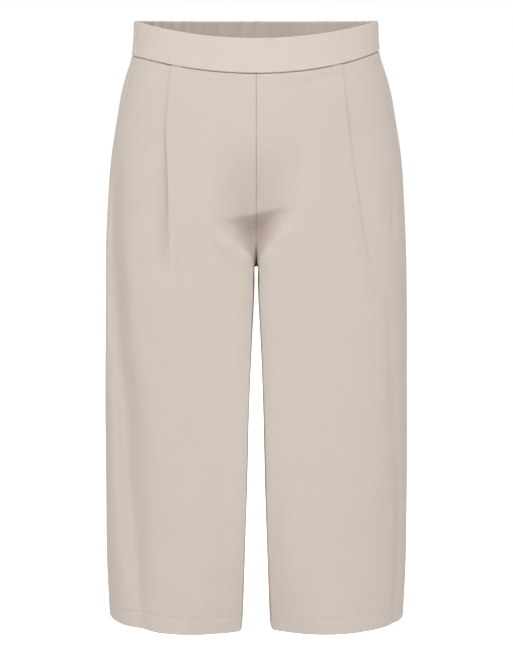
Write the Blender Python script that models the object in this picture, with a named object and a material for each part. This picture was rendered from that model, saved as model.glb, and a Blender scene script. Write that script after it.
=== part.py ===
"""Culottes: cropped wide-leg trousers with a smooth front band, a gathered elastic back band and two pleats.

Metres, +Z up. The front faces -Y and the wearer's left is at +X. The garment is hollow, as if worn, and its
origin is the centre of the waist. Every horizontal section of one half is a ring: "around" is 0 at the centre
front (below the crotch, at the inseam), 1 at the widest point of the side and 2 at the centre back.
"""

import bpy
import numpy as np

# ---- cloth ----
GAP = 0.0003  # between two pieces at a seam
PANEL_WALL = 0.0016  # one layer of heavy crepe
BAND_WALL = 0.0026  # two layers and the stiffening of the front band
ELASTIC_WALL = 0.0036  # the back band at a puff: two layers over the elastic
HEM_WALL = 0.0013
HEM_HEIGHT = 0.0225  # depth of the turned-up hem

# ---- heights ----
WAIST_TOP = 0.0212  # top of the band at the sides and the back
FRONT_TOP = 0.0003  # top of the band at the centre front
FRONT_SEAM = -0.0412  # waist seam at the centre front
BACK_SEAM = -0.0225  # waist seam at the centre back
CROTCH = -0.283
TORSO_LENGTH = 0.22  # over this length below the waist the torso's section turns into the two legs'
HEM = -0.7230
SEAM_FADE = -0.125  # below this the rows are level, above it they follow the waist seam

# ---- sizes of the sections, from the waist to the hem ----
PROFILE_COLUMNS = (
    "height", "half_width", "front", "back", "inner", "flat", "corner", "corner_share", "cleft", "outer_power",
)
PROFILE = (
    # half_width: centre to side; front and back: depths from the side seam; inner: centre to inseam
    # flat: the stretch at the middle that lies straight; corner: reach of the rounded edge beside the inseam,
    # and corner_share the share of the depth it takes; cleft: reach of the narrow groove between the legs
    # outer_power: superellipse power of the section's outer side
    (0.0212, 0.1474, 0.0990, 0.1040, 0.0000, 0.000, 0.060, 0.10, 0.030, 2.20),
    (-0.0220, 0.1512, 0.1050, 0.1100, 0.0000, 0.000, 0.060, 0.10, 0.030, 2.20),
    (-0.0400, 0.1572, 0.1085, 0.1145, 0.0000, 0.000, 0.060, 0.10, 0.030, 2.20),
    (-0.0630, 0.1638, 0.1120, 0.1195, 0.0000, 0.000, 0.060, 0.10, 0.030, 2.20),
    (-0.1000, 0.1703, 0.1150, 0.1265, 0.0000, 0.000, 0.060, 0.10, 0.030, 2.20),
    (-0.1500, 0.1780, 0.1170, 0.1330, 0.0000, 0.004, 0.058, 0.10, 0.030, 2.20),
    (-0.2000, 0.1818, 0.1170, 0.1350, 0.0000, 0.012, 0.052, 0.10, 0.028, 2.25),
    (-0.2200, 0.1829, 0.1165, 0.1344, 0.0000, 0.017, 0.044, 0.10, 0.024, 2.27),
    (-0.2400, 0.1839, 0.1159, 0.1333, 0.0000, 0.023, 0.024, 0.100, 0.0100, 2.29),
    (-0.2560, 0.1845, 0.1153, 0.1320, 0.0002, 0.029, 0.016, 0.080, 0.0050, 2.30),
    (-0.2660, 0.1847, 0.1149, 0.1312, 0.0006, 0.032, 0.017, 0.070, 0.0030, 2.30),
    (-0.2710, 0.1848, 0.1147, 0.1307, 0.0017, 0.034, 0.018, 0.070, 0.0024, 2.30),
    (-0.3050, 0.1853, 0.1135, 0.1280, 0.0028, 0.044, 0.022, 0.075, 0.0020, 2.30),
    (-0.3800, 0.1865, 0.1100, 0.1220, 0.0066, 0.066, 0.024, 0.078, 0.0016, 2.30),
    (-0.4700, 0.1876, 0.1060, 0.1150, 0.0098, 0.084, 0.026, 0.080, 0.0014, 2.25),
    (-0.5700, 0.1882, 0.1015, 0.1080, 0.0125, 0.096, 0.036, 0.110, 0.0014, 2.15),
    (-0.6500, 0.1878, 0.0985, 0.1020, 0.0150, 0.096, 0.054, 0.200, 0.0018, 2.05),
    (-0.7230, 0.1850, 0.0965, 0.0975, 0.0178, 0.094, 0.080, 0.340, 0.0024, 1.95),
)
INNER_POWER = 2.3  # superellipse power of the groove between the legs
CORNER_POWER = 2.0  # how gently the front and back bend towards the inseam

# ---- crotch: the centre seams curve under to where the two inseams meet ----
CROTCH_BEHIND = 0.012  # the crotch point lies this far behind the side seams
CURVE_COLUMNS = ("height", "hollow", "fork")  # shares of the shallow hollow and of the deep fork at the centre
FRONT_CURVE = (
    (-0.234, 0.00, 0.000), (-0.242, 0.05, 0.006), (-0.248, 0.15, 0.030), (-0.254, 0.38, 0.100),
    (-0.260, 0.70, 0.280), (-0.267, 0.96, 0.580), (-0.275, 1.00, 0.870), (CROTCH, 1.00, 1.000),
)
BACK_CURVE = (
    (-0.130, 0.00, 0.000), (-0.160, 0.20, 0.000), (-0.185, 0.45, 0.010), (-0.205, 0.70, 0.040),
    (-0.220, 0.88, 0.100), (-0.240, 1.00, 0.250), (-0.262, 1.00, 0.560), (CROTCH, 1.00, 1.000),
)
HOLLOW = {  # height, half width, depth: the front sinks between the thighs and folds under above the crotch
    -1: (
        (-0.1150, 0.0620, 0.0000), (-0.1400, 0.0610, 0.0040), (-0.1650, 0.0590, 0.0120), (-0.1900, 0.0560, 0.0208),
        (-0.2050, 0.0540, 0.0246), (-0.2100, 0.0535, 0.0264), (-0.2140, 0.0525, 0.0318), (-0.2190, 0.0495, 0.0375),
        (-0.2250, 0.0445, 0.0425), (-0.2320, 0.0365, 0.0458), (-0.2396, 0.0268, 0.0462), (-0.2468, 0.0180, 0.0415),
        (-0.2540, 0.0110, 0.0300), (-0.2600, 0.0070, 0.0160), (-0.2680, 0.0050, 0.0045), (-0.2760, 0.0040, 0.0000),
        (-0.2830, 0.0040, 0.0000),
    ),
    1: (
        (-0.1150, 0.0750, 0.0000), (-0.1400, 0.0735, 0.0040), (-0.1650, 0.0700, 0.0120), (-0.1900, 0.0660, 0.0208),
        (-0.2050, 0.0640, 0.0246), (-0.2100, 0.0635, 0.0264), (-0.2140, 0.0625, 0.0318), (-0.2190, 0.0595, 0.0375),
        (-0.2250, 0.0540, 0.0425), (-0.2320, 0.0455, 0.0458), (-0.2396, 0.0355, 0.0462), (-0.2468, 0.0255, 0.0415),
        (-0.2540, 0.0158, 0.0300), (-0.2600, 0.0092, 0.0160), (-0.2680, 0.0062, 0.0045), (-0.2760, 0.0040, 0.0000),
        (-0.2830, 0.0040, 0.0000),
    ),
}
HOLLOW_TILT = {-1: 0.11, 1: -0.30}  # slope of the fold across the top of the crotch
TILT_REACH = 0.03
HOLLOW_POWERS = {-1: (2.3, 1.9), 1: (1.75, 2.2)}  # how flat its floor is, and how softly it ends
TROUGH_COLUMNS = ("height", "x", "depth", "half_width", "outside")
TROUGH = (
    # the long trough down the front of the right leg, sunk straight back; outside: its outer wall's length
    # against its inner one's
    (-0.1150, 0.1640, 0.0000, 0.0092, 1.3), (-0.1500, 0.1680, 0.0065, 0.0092, 1.3),
    (-0.1900, 0.1720, 0.0150, 0.0097, 1.3), (-0.2350, 0.1745, 0.0212, 0.0105, 1.3),
    (-0.3120, 0.1712, 0.0262, 0.0120, 1.3), (-0.3840, 0.1664, 0.0260, 0.0132, 1.1),
    (-0.4570, 0.1594, 0.0275, 0.0165, 1.0), (-0.5300, 0.1562, 0.0240, 0.0157, 1.0),
    (-0.6040, 0.1504, 0.0195, 0.0152, 1.0), (-0.6790, 0.1440, 0.0115, 0.0122, 1.0),
    (-0.7230, 0.1410, 0.0082, 0.0112, 1.0),
)
TROUGH_END = (0.85, 0.93)  # around where its outer wall starts and ends to die away, before the side seam

# ---- per side: -1 is the wearer's right, +1 the left ----
SIDE_SEAM_TABLE = {  # height, around
    -1: ((0.0212, 0.86), (-0.030, 0.86), (-0.060, 0.90), (-0.12, 0.93), (-0.25, 0.935), (HEM, 0.93)),
    1: ((0.0212, 1.00), (-0.030, 1.00), (-0.060, 1.00), (-0.12, 1.00), (-0.25, 1.00), (HEM, 1.00)),
}
WAIST_SEAM_AT_SIDE = {-1: (-0.0212, 2.3), 1: (-0.0152, 1.9)}  # height, power of the dip to the front
TOP_DIP_POWER = 1.9
LEG_SKEW = {-1: 0.22, 1: 0.14}  # slope of the hem's section: its inner side lies forward of the outer one
SKEW_LENGTH = 0.35  # the skew grows over this length below the crotch

# ---- pleats: the middle of the front lies over the side part ----
PLEAT_COLUMNS = ("height", "fold_x", "tuck", "turn", "radius")
CLOSED_RADIUS = (PANEL_WALL + 2 * GAP) / 2
PLEATS = {
    -1: (
        (-0.020, 0.1000, 0.0130, 180, CLOSED_RADIUS),
        (-0.060, 0.1032, 0.0110, 180, CLOSED_RADIUS),
        (-0.110, 0.1070, 0.0070, 180, CLOSED_RADIUS),
        (-0.150, 0.1055, 0.0025, 165, CLOSED_RADIUS * 1.1),
        (-0.190, 0.1042, 0.0000, 105, 0.0022),
        (-0.225, 0.1038, 0.0000, 55, 0.0045),
        (-0.262, 0.1015, 0.0000, 10, 0.0070),
    ),
    1: (
        (-0.020, 0.1020, 0.0120, 180, CLOSED_RADIUS),
        (-0.060, 0.1045, 0.0090, 180, CLOSED_RADIUS),
        (-0.095, 0.1080, 0.0045, 170, CLOSED_RADIUS),
        (-0.130, 0.1125, 0.0010, 120, 0.0018),
        (-0.165, 0.1165, 0.0000, 65, 0.0040),
        (-0.215, 0.1240, 0.0000, 38, 0.0070),
        (-0.262, 0.1330, 0.0000, 10, 0.0090),
    ),
}
PLEAT_END = -0.256
TUCK_BLEND = 0.034  # the side part comes back up to the surface over this distance

# ---- gathers of the back: angle from the centre back, depth of the crease in the band, length below it ----
GATHERS = (
    (-84.0, 0.0007, 0.030), (-76.0, 0.0008, 0.045), (-68.5, 0.0006, 0.035), (-60.5, 0.0008, 0.060),
    (-52.0, 0.0009, 0.045), (-45.0, 0.0006, 0.070), (-38.0, 0.0009, 0.055), (-32.0, 0.0007, 0.040),
    (-26.5, 0.0008, 0.075), (-19.0, 0.0009, 0.060), (-13.0, 0.0006, 0.035), (-7.3, 0.0009, 0.065),
    (0.0, 0.0010, 0.050), (7.8, 0.0009, 0.060), (13.3, 0.0007, 0.040), (18.5, 0.0008, 0.070),
    (24.5, 0.0009, 0.055), (31.0, 0.0006, 0.045), (37.0, 0.0009, 0.075), (43.7, 0.0007, 0.050),
    (51.0, 0.0009, 0.065), (58.5, 0.0006, 0.035), (65.5, 0.0008, 0.055), (74.0, 0.0009, 0.045),
    (82.5, 0.0006, 0.030),
)
CREASE_WIDTH = 1.5  # degrees, half width of a gather's crease in the band
PANEL_CREASE_WIDTH = 2.4  # degrees, the same just below the band
PANEL_CREASE_SCALE = 3.3  # a crease in the panel is this much deeper than in the band

# ---- smaller folds: (height, around, depth, half width) along each ----
FOLDS = {
    -1: (
        ((-0.420, 0.190, 0.0000, 0.010), (-0.475, 0.215, 0.0017, 0.012), (-0.548, 0.270, 0.0024, 0.014),
         (-0.640, 0.255, 0.0022, 0.014), (-0.699, 0.290, 0.0018, 0.013), (-0.723, 0.300, 0.0016, 0.013)),
        ((-0.200, 1.400, 0.0000, 0.013), (-0.270, 1.420, 0.0022, 0.014), (-0.400, 1.490, 0.0030, 0.016),
         (-0.550, 1.530, 0.0030, 0.017), (-0.723, 1.500, 0.0026, 0.018)),
        ((-0.300, 1.830, 0.0000, 0.012), (-0.380, 1.790, 0.0018, 0.013), (-0.480, 1.760, 0.0022, 0.014),
         (-0.600, 1.780, 0.0022, 0.014), (-0.723, 1.740, 0.0020, 0.015)),
    ),
    1: (
        ((-0.300, 0.760, 0.0000, 0.010), (-0.368, 0.776, 0.0014, 0.012), (-0.472, 0.785, 0.0022, 0.013),
         (-0.566, 0.830, 0.0027, 0.012), (-0.650, 0.825, 0.0025, 0.012), (-0.723, 0.815, 0.0021, 0.012)),
        ((-0.190, 1.310, 0.0000, 0.013), (-0.260, 1.350, 0.0024, 0.015), (-0.380, 1.400, 0.0032, 0.016),
         (-0.520, 1.420, 0.0032, 0.017), (-0.660, 1.450, 0.0028, 0.017), (-0.723, 1.460, 0.0026, 0.018)),
        ((-0.290, 1.160, 0.0000, 0.011), (-0.380, 1.150, 0.0018, 0.013), (-0.460, 1.150, 0.0022, 0.014),
         (-0.620, 1.180, 0.0022, 0.014), (-0.723, 1.200, 0.0020, 0.014)),
    ),
}
LIP = 0.30  # how much a fold's lips stand up

# ---- rows of the panels: height at the centre seam or inseam, height at the side ----
UPPER_ROWS = (
    (-0.0220, -0.0220), (-0.0340, -0.0340), (-0.0500, -0.0500), (-0.0720, -0.0720), (-0.0980, -0.0980),
    (-0.1250, -0.1250), (-0.1520, -0.1520), (-0.1780, -0.1780), (-0.1980, -0.1995), (-0.2060, -0.2090),
    (-0.2110, -0.2150), (-0.2155, -0.2206), (-0.2240, -0.2320), (-0.2340, -0.2475), (-0.2460, -0.2660),
    (-0.2570, -0.2850), (-0.2665, -0.3030), (-0.2745, -0.3200), (-0.2800, -0.3360), (-0.2830, -0.3520),
)
LOWER_ROWS = (
    (-0.2980, -0.3760), (-0.3110, -0.3910), (-0.3250, -0.4060), (-0.3450, -0.4240), (-0.3700, -0.4440),
    (-0.4000, -0.4670), (-0.4300, -0.4900), (-0.4640, -0.5150), (-0.5000, -0.5420), (-0.5350, -0.5680),
    (-0.5700, -0.5950), (-0.6050, -0.6220), (-0.6400, -0.6500), (-0.6720, -0.6760),
    (HEM + HEM_HEIGHT, HEM + HEM_HEIGHT), (HEM, HEM),
)
FRONT_TOP_COLUMNS = 11  # between the centre and the pleat
FRONT_SIDE_COLUMNS = 9  # between the pleat and the side seam
TURN_STEPS = 4  # faces on each turn of the pleat
LEG_COLUMNS = 21
CLOSER_INSIDE = 1.1  # power that draws the columns together towards the inseam
GATHER_ROWS = 4  # the first rows of a back panel carry the gathers

# ---- small steps for slopes ----
LIFT = 4e-4  # up and down a surface
NUDGE = 2e-3  # of around, along a section

CREPE = (0.66, 0.585, 0.52, 1.0)
CREPE_INSIDE = (0.60, 0.53, 0.47, 1.0)


def clear_scene():
    for item in list(bpy.data.objects):
        bpy.data.objects.remove(item, do_unlink=True)


# ---------------------------------------------------------------- tables


def smooth_rows(rows, column, height):
    """The column's value at each height, on a smooth curve through the rows."""
    rows = np.asarray(rows, float)[::-1]
    z, values = rows[:, 0], rows[:, column]
    slopes = np.gradient(values, z)
    height = np.clip(np.asarray(height, float), z[0], z[-1])
    k = np.clip(np.searchsorted(z, height) - 1, 0, len(z) - 2)
    span = z[k + 1] - z[k]
    t = (height - z[k]) / span
    ends = (2 * t**3 - 3 * t**2 + 1) * values[k] + (3 * t**2 - 2 * t**3) * values[k + 1]
    return ends + (t**3 - 2 * t**2 + t) * span * slopes[k] + (t**3 - t**2) * span * slopes[k + 1]


def profile(name, height):
    return smooth_rows(PROFILE, PROFILE_COLUMNS.index(name), height)


def ease(t):
    t = np.clip(t, 0.0, 1.0)
    return t * t * (3 - 2 * t)


def between(low, high, t):
    return low + (high - low) * t


# ---------------------------------------------------------------- the bare section


def under_crotch(name, behind, height):
    """How far the centre has sunk, in front or behind: 0 above its curve, 1 from the crotch down."""
    front, back = (np.clip(smooth_rows(curve, CURVE_COLUMNS.index(name), height), 0.0, 1.0)
                   for curve in (FRONT_CURVE, BACK_CURVE))
    return np.where(behind, back, front)


def groove(x, inner, width, sunk):
    """The share of the groove's depth at x: an arc of a superellipse, shallow when little of it is sunk."""
    sunk = np.maximum(sunk, 1e-4)
    start_cos = (1 - np.clip(1 - sunk, 0, 1) ** INNER_POWER) ** (1 / INNER_POWER)
    reach = np.clip((x - inner) / width, 0.0, 1.0)
    cosine = (1 - reach) * start_cos
    return (1 - (1 - cosine**INNER_POWER) ** (1 / INNER_POWER)) / sunk


def hollow(side, past, height):
    """How far the front is sunk between the thighs, at a distance from the centre."""
    level = height + HOLLOW_TILT[side] * np.minimum(past, TILT_REACH)
    width, depth = smooth_rows(HOLLOW[side], 1, level), smooth_rows(HOLLOW[side], 2, level)
    across = np.clip(past / width, 0.0, 1.0)
    floor, end = HOLLOW_POWERS[side]
    return np.maximum(depth, 0.0) * (1 - across**floor) ** end


def trough_at(name, height):
    return smooth_rows(TROUGH, TROUGH_COLUMNS.index(name), height)


def trough(x, share, height):
    """How far the front of the right leg is sunk in its long trough."""
    offset = (x - trough_at("x", height)) / trough_at("half_width", height)
    offset = np.where(offset > 0, offset / trough_at("outside", height), offset)
    start, end = TROUGH_END
    return trough_at("depth", height) * np.exp(-(offset**2)) * (1 - ease((share - start) / (end - start)))


def section(side, around, height):
    """x and y of the bare surface for the half at +X."""
    around, height = np.broadcast_arrays(np.asarray(around, float), np.asarray(height, float))
    around = np.where(height < CROTCH, around % 2.0, np.clip(around, 0.0, 2.0))
    behind = around > 1.0
    share = np.where(behind, 2.0 - around, around)
    half_width = profile("half_width", height)
    inner = profile("inner", height)
    torso = 1 - ease((BACK_SEAM - height) / TORSO_LENGTH)
    across = between((1 - np.cos(np.pi * share)) / 2, np.sin(np.pi * share / 2), torso)
    x = inner + (half_width - inner) * across
    outer_power = profile("outer_power", height)
    flat = profile("flat", height)
    past = np.clip((x - flat) / (half_width - flat), 0.0, 1.0)
    depth = np.where(behind, profile("back", height), profile("front", height))
    full = depth + np.where(behind, -CROTCH_BEHIND, CROTCH_BEHIND)
    reach = depth * (1 - past**outer_power) ** (1 / outer_power)
    corner_share = profile("corner_share", height)
    bend = (1 - np.clip((x - inner) / profile("corner", height), 0.0, 1.0)) ** CORNER_POWER
    reach = reach - full * corner_share * under_crotch("hollow", behind, height) * bend
    sunk = under_crotch("fork", behind, height)
    reach = reach - full * (1 - corner_share) * sunk * groove(x, inner, profile("cleft", height), sunk)
    reach = reach - np.where(behind, 0.0, hollow(side, x - inner, height))
    if side < 0:
        reach = reach - np.where(behind, 0.0, trough(x, share, height))
    lean = LEG_SKEW[side] * ease((CROTCH - height) / SKEW_LENGTH) * (x - (half_width + inner) / 2)
    return x, np.where(behind, reach, -reach) + lean


def pace(side, around, height):
    """Metres along the section for one unit of around."""
    ahead = section(side, around + NUDGE, height)
    back = section(side, around - NUDGE, height)
    return np.maximum(np.hypot(ahead[0] - back[0], ahead[1] - back[1]) / (2 * NUDGE), 0.02)


def raised(side, around, height, rise):
    """Points at a distance outside the bare surface, measured in the section's own plane."""
    x, y = section(side, around, height)
    ahead = section(side, around + NUDGE, height)
    back = section(side, around - NUDGE, height)
    along_x, along_y = ahead[0] - back[0], ahead[1] - back[1]
    length = np.maximum(np.hypot(along_x, along_y), 1e-9)
    return np.stack([x + rise * along_y / length, y - rise * along_x / length, height + 0 * x], axis=-1)


def side_seam(side, height):
    rows = SIDE_SEAM_TABLE[side]
    return np.interp(-np.asarray(height, float), [-row[0] for row in rows], [row[1] for row in rows])


# ---------------------------------------------------------------- folds and gathers


def fold(side, path, around, height):
    """How far one fold moves the surface: a soft trough along its path with a slight lip on either side."""
    line, depth, width = (smooth_rows(path, column, height) for column in (1, 2, 3))
    metres = float(pace(side, path[len(path) // 2][1], path[len(path) // 2][0]))
    lean = (smooth_rows(path, 1, height + NUDGE) - smooth_rows(path, 1, height - NUDGE)) * metres / (2 * NUDGE)
    offset = (around - line) * metres / np.sqrt(1 + lean**2)
    beyond = np.maximum(height - path[0][0], 0.0) + np.maximum(path[-1][0] - height, 0.0)
    squared = (offset**2 + beyond**2) / width**2
    return -depth * (1 - LIP * squared) * np.exp(-squared)


def folds(side, around, height):
    return sum(fold(side, path, around, height) for path in FOLDS[side])


def back_degrees(side, around):
    """Angle from the centre back, positive to the wearer's left."""
    return side * (2.0 - around) * 90.0


def creases(side, low, high):
    """Around of each gather of one side between two limits, from the side seam to the centre back."""
    own = sorted(2.0 - side * degrees / 90.0 for degrees, _, _ in GATHERS)
    return [around for around in own if low < around < high]


def gathers(side, around, height, seam_height):
    """How far the gathers' creases sink the back just below its band, each fading at its own length."""
    below = np.maximum(seam_height - height, 0.0)
    angle = back_degrees(side, around)
    rise = np.zeros(np.broadcast(angle, height).shape)
    for degrees, depth, length in GATHERS:
        near = np.exp(-(((angle - degrees) / PANEL_CREASE_WIDTH) ** 2))
        rise -= depth * PANEL_CREASE_SCALE * near * (1 - ease(below / (1.6 * length)))
    return rise


def pleat_at(side, name, height):
    return float(smooth_rows(PLEATS[side], PLEAT_COLUMNS.index(name), height))


def around_at_x(side, x, height):
    """Where on the front of the section x is reached."""
    share = np.linspace(0.0, 1.0, 241)
    return float(np.interp(x, section(side, share, height)[0], share))


def front_line(side, height):
    """Rows of (around, rise, key) along a front panel at one height, through its pleat where it has one."""
    seam = float(side_seam(side, height)) - GAP / 2 / float(pace(side, 0.97, height))
    start = GAP / 2 / float(pace(side, 0.02, height)) * float(under_crotch("fork", False, height))
    if height < PLEAT_END:
        share = np.linspace(0.0, 1.0, LEG_COLUMNS + 1)
        return between(start, seam, share**CLOSER_INSIDE), 0 * share, share
    fold = around_at_x(side, pleat_at(side, "fold_x", height), height)
    metres = float(pace(side, fold, height))
    turn = np.radians(np.clip(pleat_at(side, "turn", height), 0, 180))
    radius = pleat_at(side, "radius", height)
    tuck = max(pleat_at(side, "tuck", height), 0.0)
    angle = np.linspace(0.0, turn, TURN_STEPS + 1)
    first = np.stack([radius * np.sin(angle), -radius * (1 - np.cos(angle))])
    middle = first[:, -1] + tuck * np.array([np.cos(turn), -np.sin(turn)])
    angle = angle[::-1]
    second = np.stack([radius * (np.sin(turn) - np.sin(angle)), radius * (np.cos(turn) - np.cos(angle))])
    second = second + middle[:, None]
    over = np.linspace(0.0, 1.0, FRONT_TOP_COLUMNS + 1)
    under = np.linspace(0.0, 1.0, FRONT_SIDE_COLUMNS + 1)[1:]
    lands = fold + second[0, -1] / metres
    under_around = between(lands, seam, under**1.15)
    under_rise = second[1, -1] * (1 - ease((under_around - lands) * metres / TUCK_BLEND))
    around = np.concatenate([between(start, fold, over**CLOSER_INSIDE), fold + first[0, 1:] / metres,
                             fold + second[0] / metres, under_around])
    rise = np.concatenate([0 * over, first[1, 1:], second[1], under_rise])
    middle_key = FRONT_TOP_COLUMNS / (FRONT_TOP_COLUMNS + FRONT_SIDE_COLUMNS)
    turn_keys = middle_key + np.arange(1, 2 * TURN_STEPS + 2) * 1e-3
    keys = np.concatenate([over * middle_key, turn_keys, between(turn_keys[-1], 1.0, under)])
    return around, rise, keys


# ---------------------------------------------------------------- rows in space


def dip_to_front(around, power):
    return np.clip(np.cos(np.pi * np.clip(around, 0, 1) / 2), 0, 1) ** power


def waist_seam(side, around):
    """Height of the waist seam: lowest at the centre front."""
    at_side, power = WAIST_SEAM_AT_SIDE[side]
    front = at_side - (at_side - FRONT_SEAM) * dip_to_front(around, power)
    back = between(at_side, BACK_SEAM, ease(np.clip(around - 1, 0, 1)))
    return np.where(np.asarray(around) < 1, front, back)


def band_top(_, around):
    """Height of the band's top, the same on both sides."""
    return WAIST_TOP - (WAIST_TOP - FRONT_TOP) * dip_to_front(around, TOP_DIP_POWER)


def row_heights(side, row, around):
    """Heights along a panel's row: it falls to the side at the fork, and follows the waist seam above."""
    centre, outer = row
    share = np.where(np.asarray(around) > 1, 2.0 - np.asarray(around), around)
    level = between(centre, outer, ease(np.clip(share, 0, 1) / 0.75))
    top = UPPER_ROWS[0][0]
    follow = 1 - ease((top - centre) / (top - SEAM_FADE))
    return level + (waist_seam(side, around) - GAP / 2 - top) * follow


def place(side, points):
    points = np.array(points)
    points[..., 0] *= side
    return points


def surface(side, around, rise, row, lift=0.0):
    """Points of one row of a panel, and lift raises the whole row for a derivative."""
    height = row_heights(side, row, around) + lift
    seam = waist_seam(side, around)
    sink = folds(side, around, height)
    puffs = np.where(np.asarray(around) > 1, gathers(side, around, height, seam), 0.0)
    return raised(side, around, height, rise + sink + puffs)


def add_ghosts(around, rise):
    """One more column past each end of the row, on the neighbouring piece."""
    first, last = around[0] - (around[1] - around[0]), around[-1] + (around[-1] - around[-2])
    return np.concatenate([[first], around, [last]]), np.concatenate([[rise[0]], rise, [rise[-1]]])


def unit(vectors, level=False):
    """Unit vectors; level ones lie in the horizontal plane, which keeps a rim flat."""
    if level:
        vectors = vectors * np.array([1.0, 1.0, 0.0])
    return vectors / np.linalg.norm(vectors, axis=1)[:, None]


def row_of(side, around, rise, keys, row):
    """Middle points, unit normals and keys of one row; the centre seam's end keeps clear of x = 0."""
    wide_around, wide_rise = add_ghosts(around, rise)
    points = surface(side, wide_around, wide_rise, row)
    upper = surface(side, wide_around, wide_rise, row, LIFT)
    lifted = upper - surface(side, wide_around, wide_rise, row, -LIFT)
    along = points[2:] - points[:-2]
    if row[0] > CROTCH:
        centre_end = 0 if around[0] < 1 else -1
        inward = 1 if centre_end == 0 else -2
        gap = points[1:-1][inward] - points[1:-1][centre_end]
        along[centre_end] = gap if centre_end == 0 else -gap
    normals = unit(np.cross(along, lifted[1:-1]), row in (UPPER_ROWS[0], LOWER_ROWS[-1]))
    points = points[1:-1]
    clear = GAP / 2 + PANEL_WALL / 2 * np.abs(normals[:, 0])
    points[:, 0] = np.maximum(points[:, 0], clear)
    return place(side, points), place(side, normals), keys


# ---------------------------------------------------------------- closed shells


def stitched(lower, lower_keys, upper, upper_keys, points):
    """Triangles between two rows of vertex numbers whose counts may differ, along the shorter diagonals."""
    faces, i, j = [], 0, 0
    while i < len(lower) - 1 or j < len(upper) - 1:
        go_lower = j == len(upper) - 1 or (i < len(lower) - 1 and lower_keys[i + 1] <= upper_keys[j + 1])
        inside = i < len(lower) - 1 and j < len(upper) - 1
        if inside and lower_keys[i] == upper_keys[j] and lower_keys[i + 1] == upper_keys[j + 1]:
            from_lower = np.linalg.norm(points[lower[i + 1]] - points[upper[j]])
            go_lower = from_lower < np.linalg.norm(points[lower[i]] - points[upper[j + 1]])
        if go_lower:
            faces.append((lower[i], lower[i + 1], upper[j]))
            i += 1
        else:
            faces.append((lower[i], upper[j + 1], upper[j]))
            j += 1
    return faces


def shell(name, rows, halves, colour, closed=False):
    """A wall from rows of (points, normals, keys) and their half thickness; a closed one is a ring."""
    outer, inner, numbers, count = [], [], [], 0
    for (points, normals, _), half in zip(rows, halves):
        offset = normals * np.reshape(half, (-1, 1))
        outer.append(points + offset)
        inner.append(points - offset)
        numbers.append(np.arange(count, count + len(points)))
        count += len(points)
    faces, points = [], np.concatenate(outer)
    for k in range(len(rows) - 1):
        low, high = list(numbers[k + 1]), list(numbers[k])
        low_keys, high_keys = list(rows[k + 1][2]), list(rows[k][2])
        if closed:
            low, high = low + low[:1], high + high[:1]
            low_keys, high_keys = low_keys + [2.0], high_keys + [2.0]
        for a, b, c in stitched(low, low_keys, high, high_keys, points):
            faces.append((a, b, c))
            faces.append((count + a, count + c, count + b))
    for edge, turned in ((list(numbers[0]), True), (list(numbers[-1]), False)):
        loop = edge + edge[:1] if closed else edge
        for a, b in zip(loop[:-1], loop[1:]):
            quad = (a, count + a, count + b, b)
            faces.append(quad[::-1] if turned else quad)
    if not closed:
        for end, turned in ((0, False), (-1, True)):
            column = [int(row[end]) for row in numbers]
            for a, b in zip(column[:-1], column[1:]):
                quad = (a, count + a, count + b, b)
                faces.append(quad[::-1] if turned else quad)
    vertices = np.concatenate(outer + inner)
    return solid(name, vertices, faces, colour)


def outward(vertices, faces):
    """The faces, turned round if they enclose a negative volume."""
    volume = 0.0
    for face in faces:
        for k in range(1, len(face) - 1):
            a, b, c = vertices[face[0]], vertices[face[k]], vertices[face[k + 1]]
            volume += np.dot(a, np.cross(b, c))
    return faces if volume > 0 else [tuple(reversed(face)) for face in faces]


def solid(name, vertices, faces, colour):
    faces = outward(vertices, [tuple(int(v) for v in face) for face in faces])
    mesh = bpy.data.meshes.new(name)
    mesh.from_pydata([tuple(v) for v in vertices], [], faces)
    mesh.update()
    mesh.shade_smooth()
    mesh.set_sharp_from_angle(angle=np.radians(50))
    item = bpy.data.objects.new(name, mesh)
    bpy.context.scene.collection.objects.link(item)
    mesh.materials.append(cloth_material(name, colour))
    return item


def cloth_material(name, colour):
    material = bpy.data.materials.new(name + "_crepe")
    material.use_nodes = True
    shader = material.node_tree.nodes["Principled BSDF"]
    shader.inputs["Base Color"].default_value = colour
    shader.inputs["Roughness"].default_value = 0.85
    shader.inputs["Metallic"].default_value = 0.0
    return material


# ---------------------------------------------------------------- the pieces


def front_panel(side):
    rows = []
    for row in UPPER_ROWS + LOWER_ROWS:
        around, rise, keys = front_line(side, between(row[0], row[1], 0.5))
        rows.append(row_of(side, around, rise, keys, row))
    return rows


def back_columns(side, index, height):
    """Around and keys of a back panel's row, fine where it is gathered."""
    seam = float(side_seam(side, height)) + GAP / 2 / float(pace(side, 1.03, height))
    centre = 2.0 - GAP / 2 / float(pace(side, 1.98, height)) * float(under_crotch("fork", True, height))
    if index >= GATHER_ROWS:
        share = 1 - (1 - np.linspace(0.0, 1.0, LEG_COLUMNS + 1)) ** CLOSER_INSIDE
    else:
        marks = [seam] + creases(side, seam + 0.02, centre - 0.02) + [centre]
        fine = [np.linspace(a, b, 4)[:-1] for a, b in zip(marks[:-1], marks[1:])]
        share = (np.concatenate(fine + [[centre]]) - seam) / (centre - seam)
    return between(seam, centre, share), share


def back_panel(side):
    rows = []
    for index, row in enumerate(UPPER_ROWS + LOWER_ROWS):
        around, keys = back_columns(side, index, between(row[0], row[1], 0.5))
        rows.append(row_of(side, around, 0 * around, keys, row))
    return rows


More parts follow.
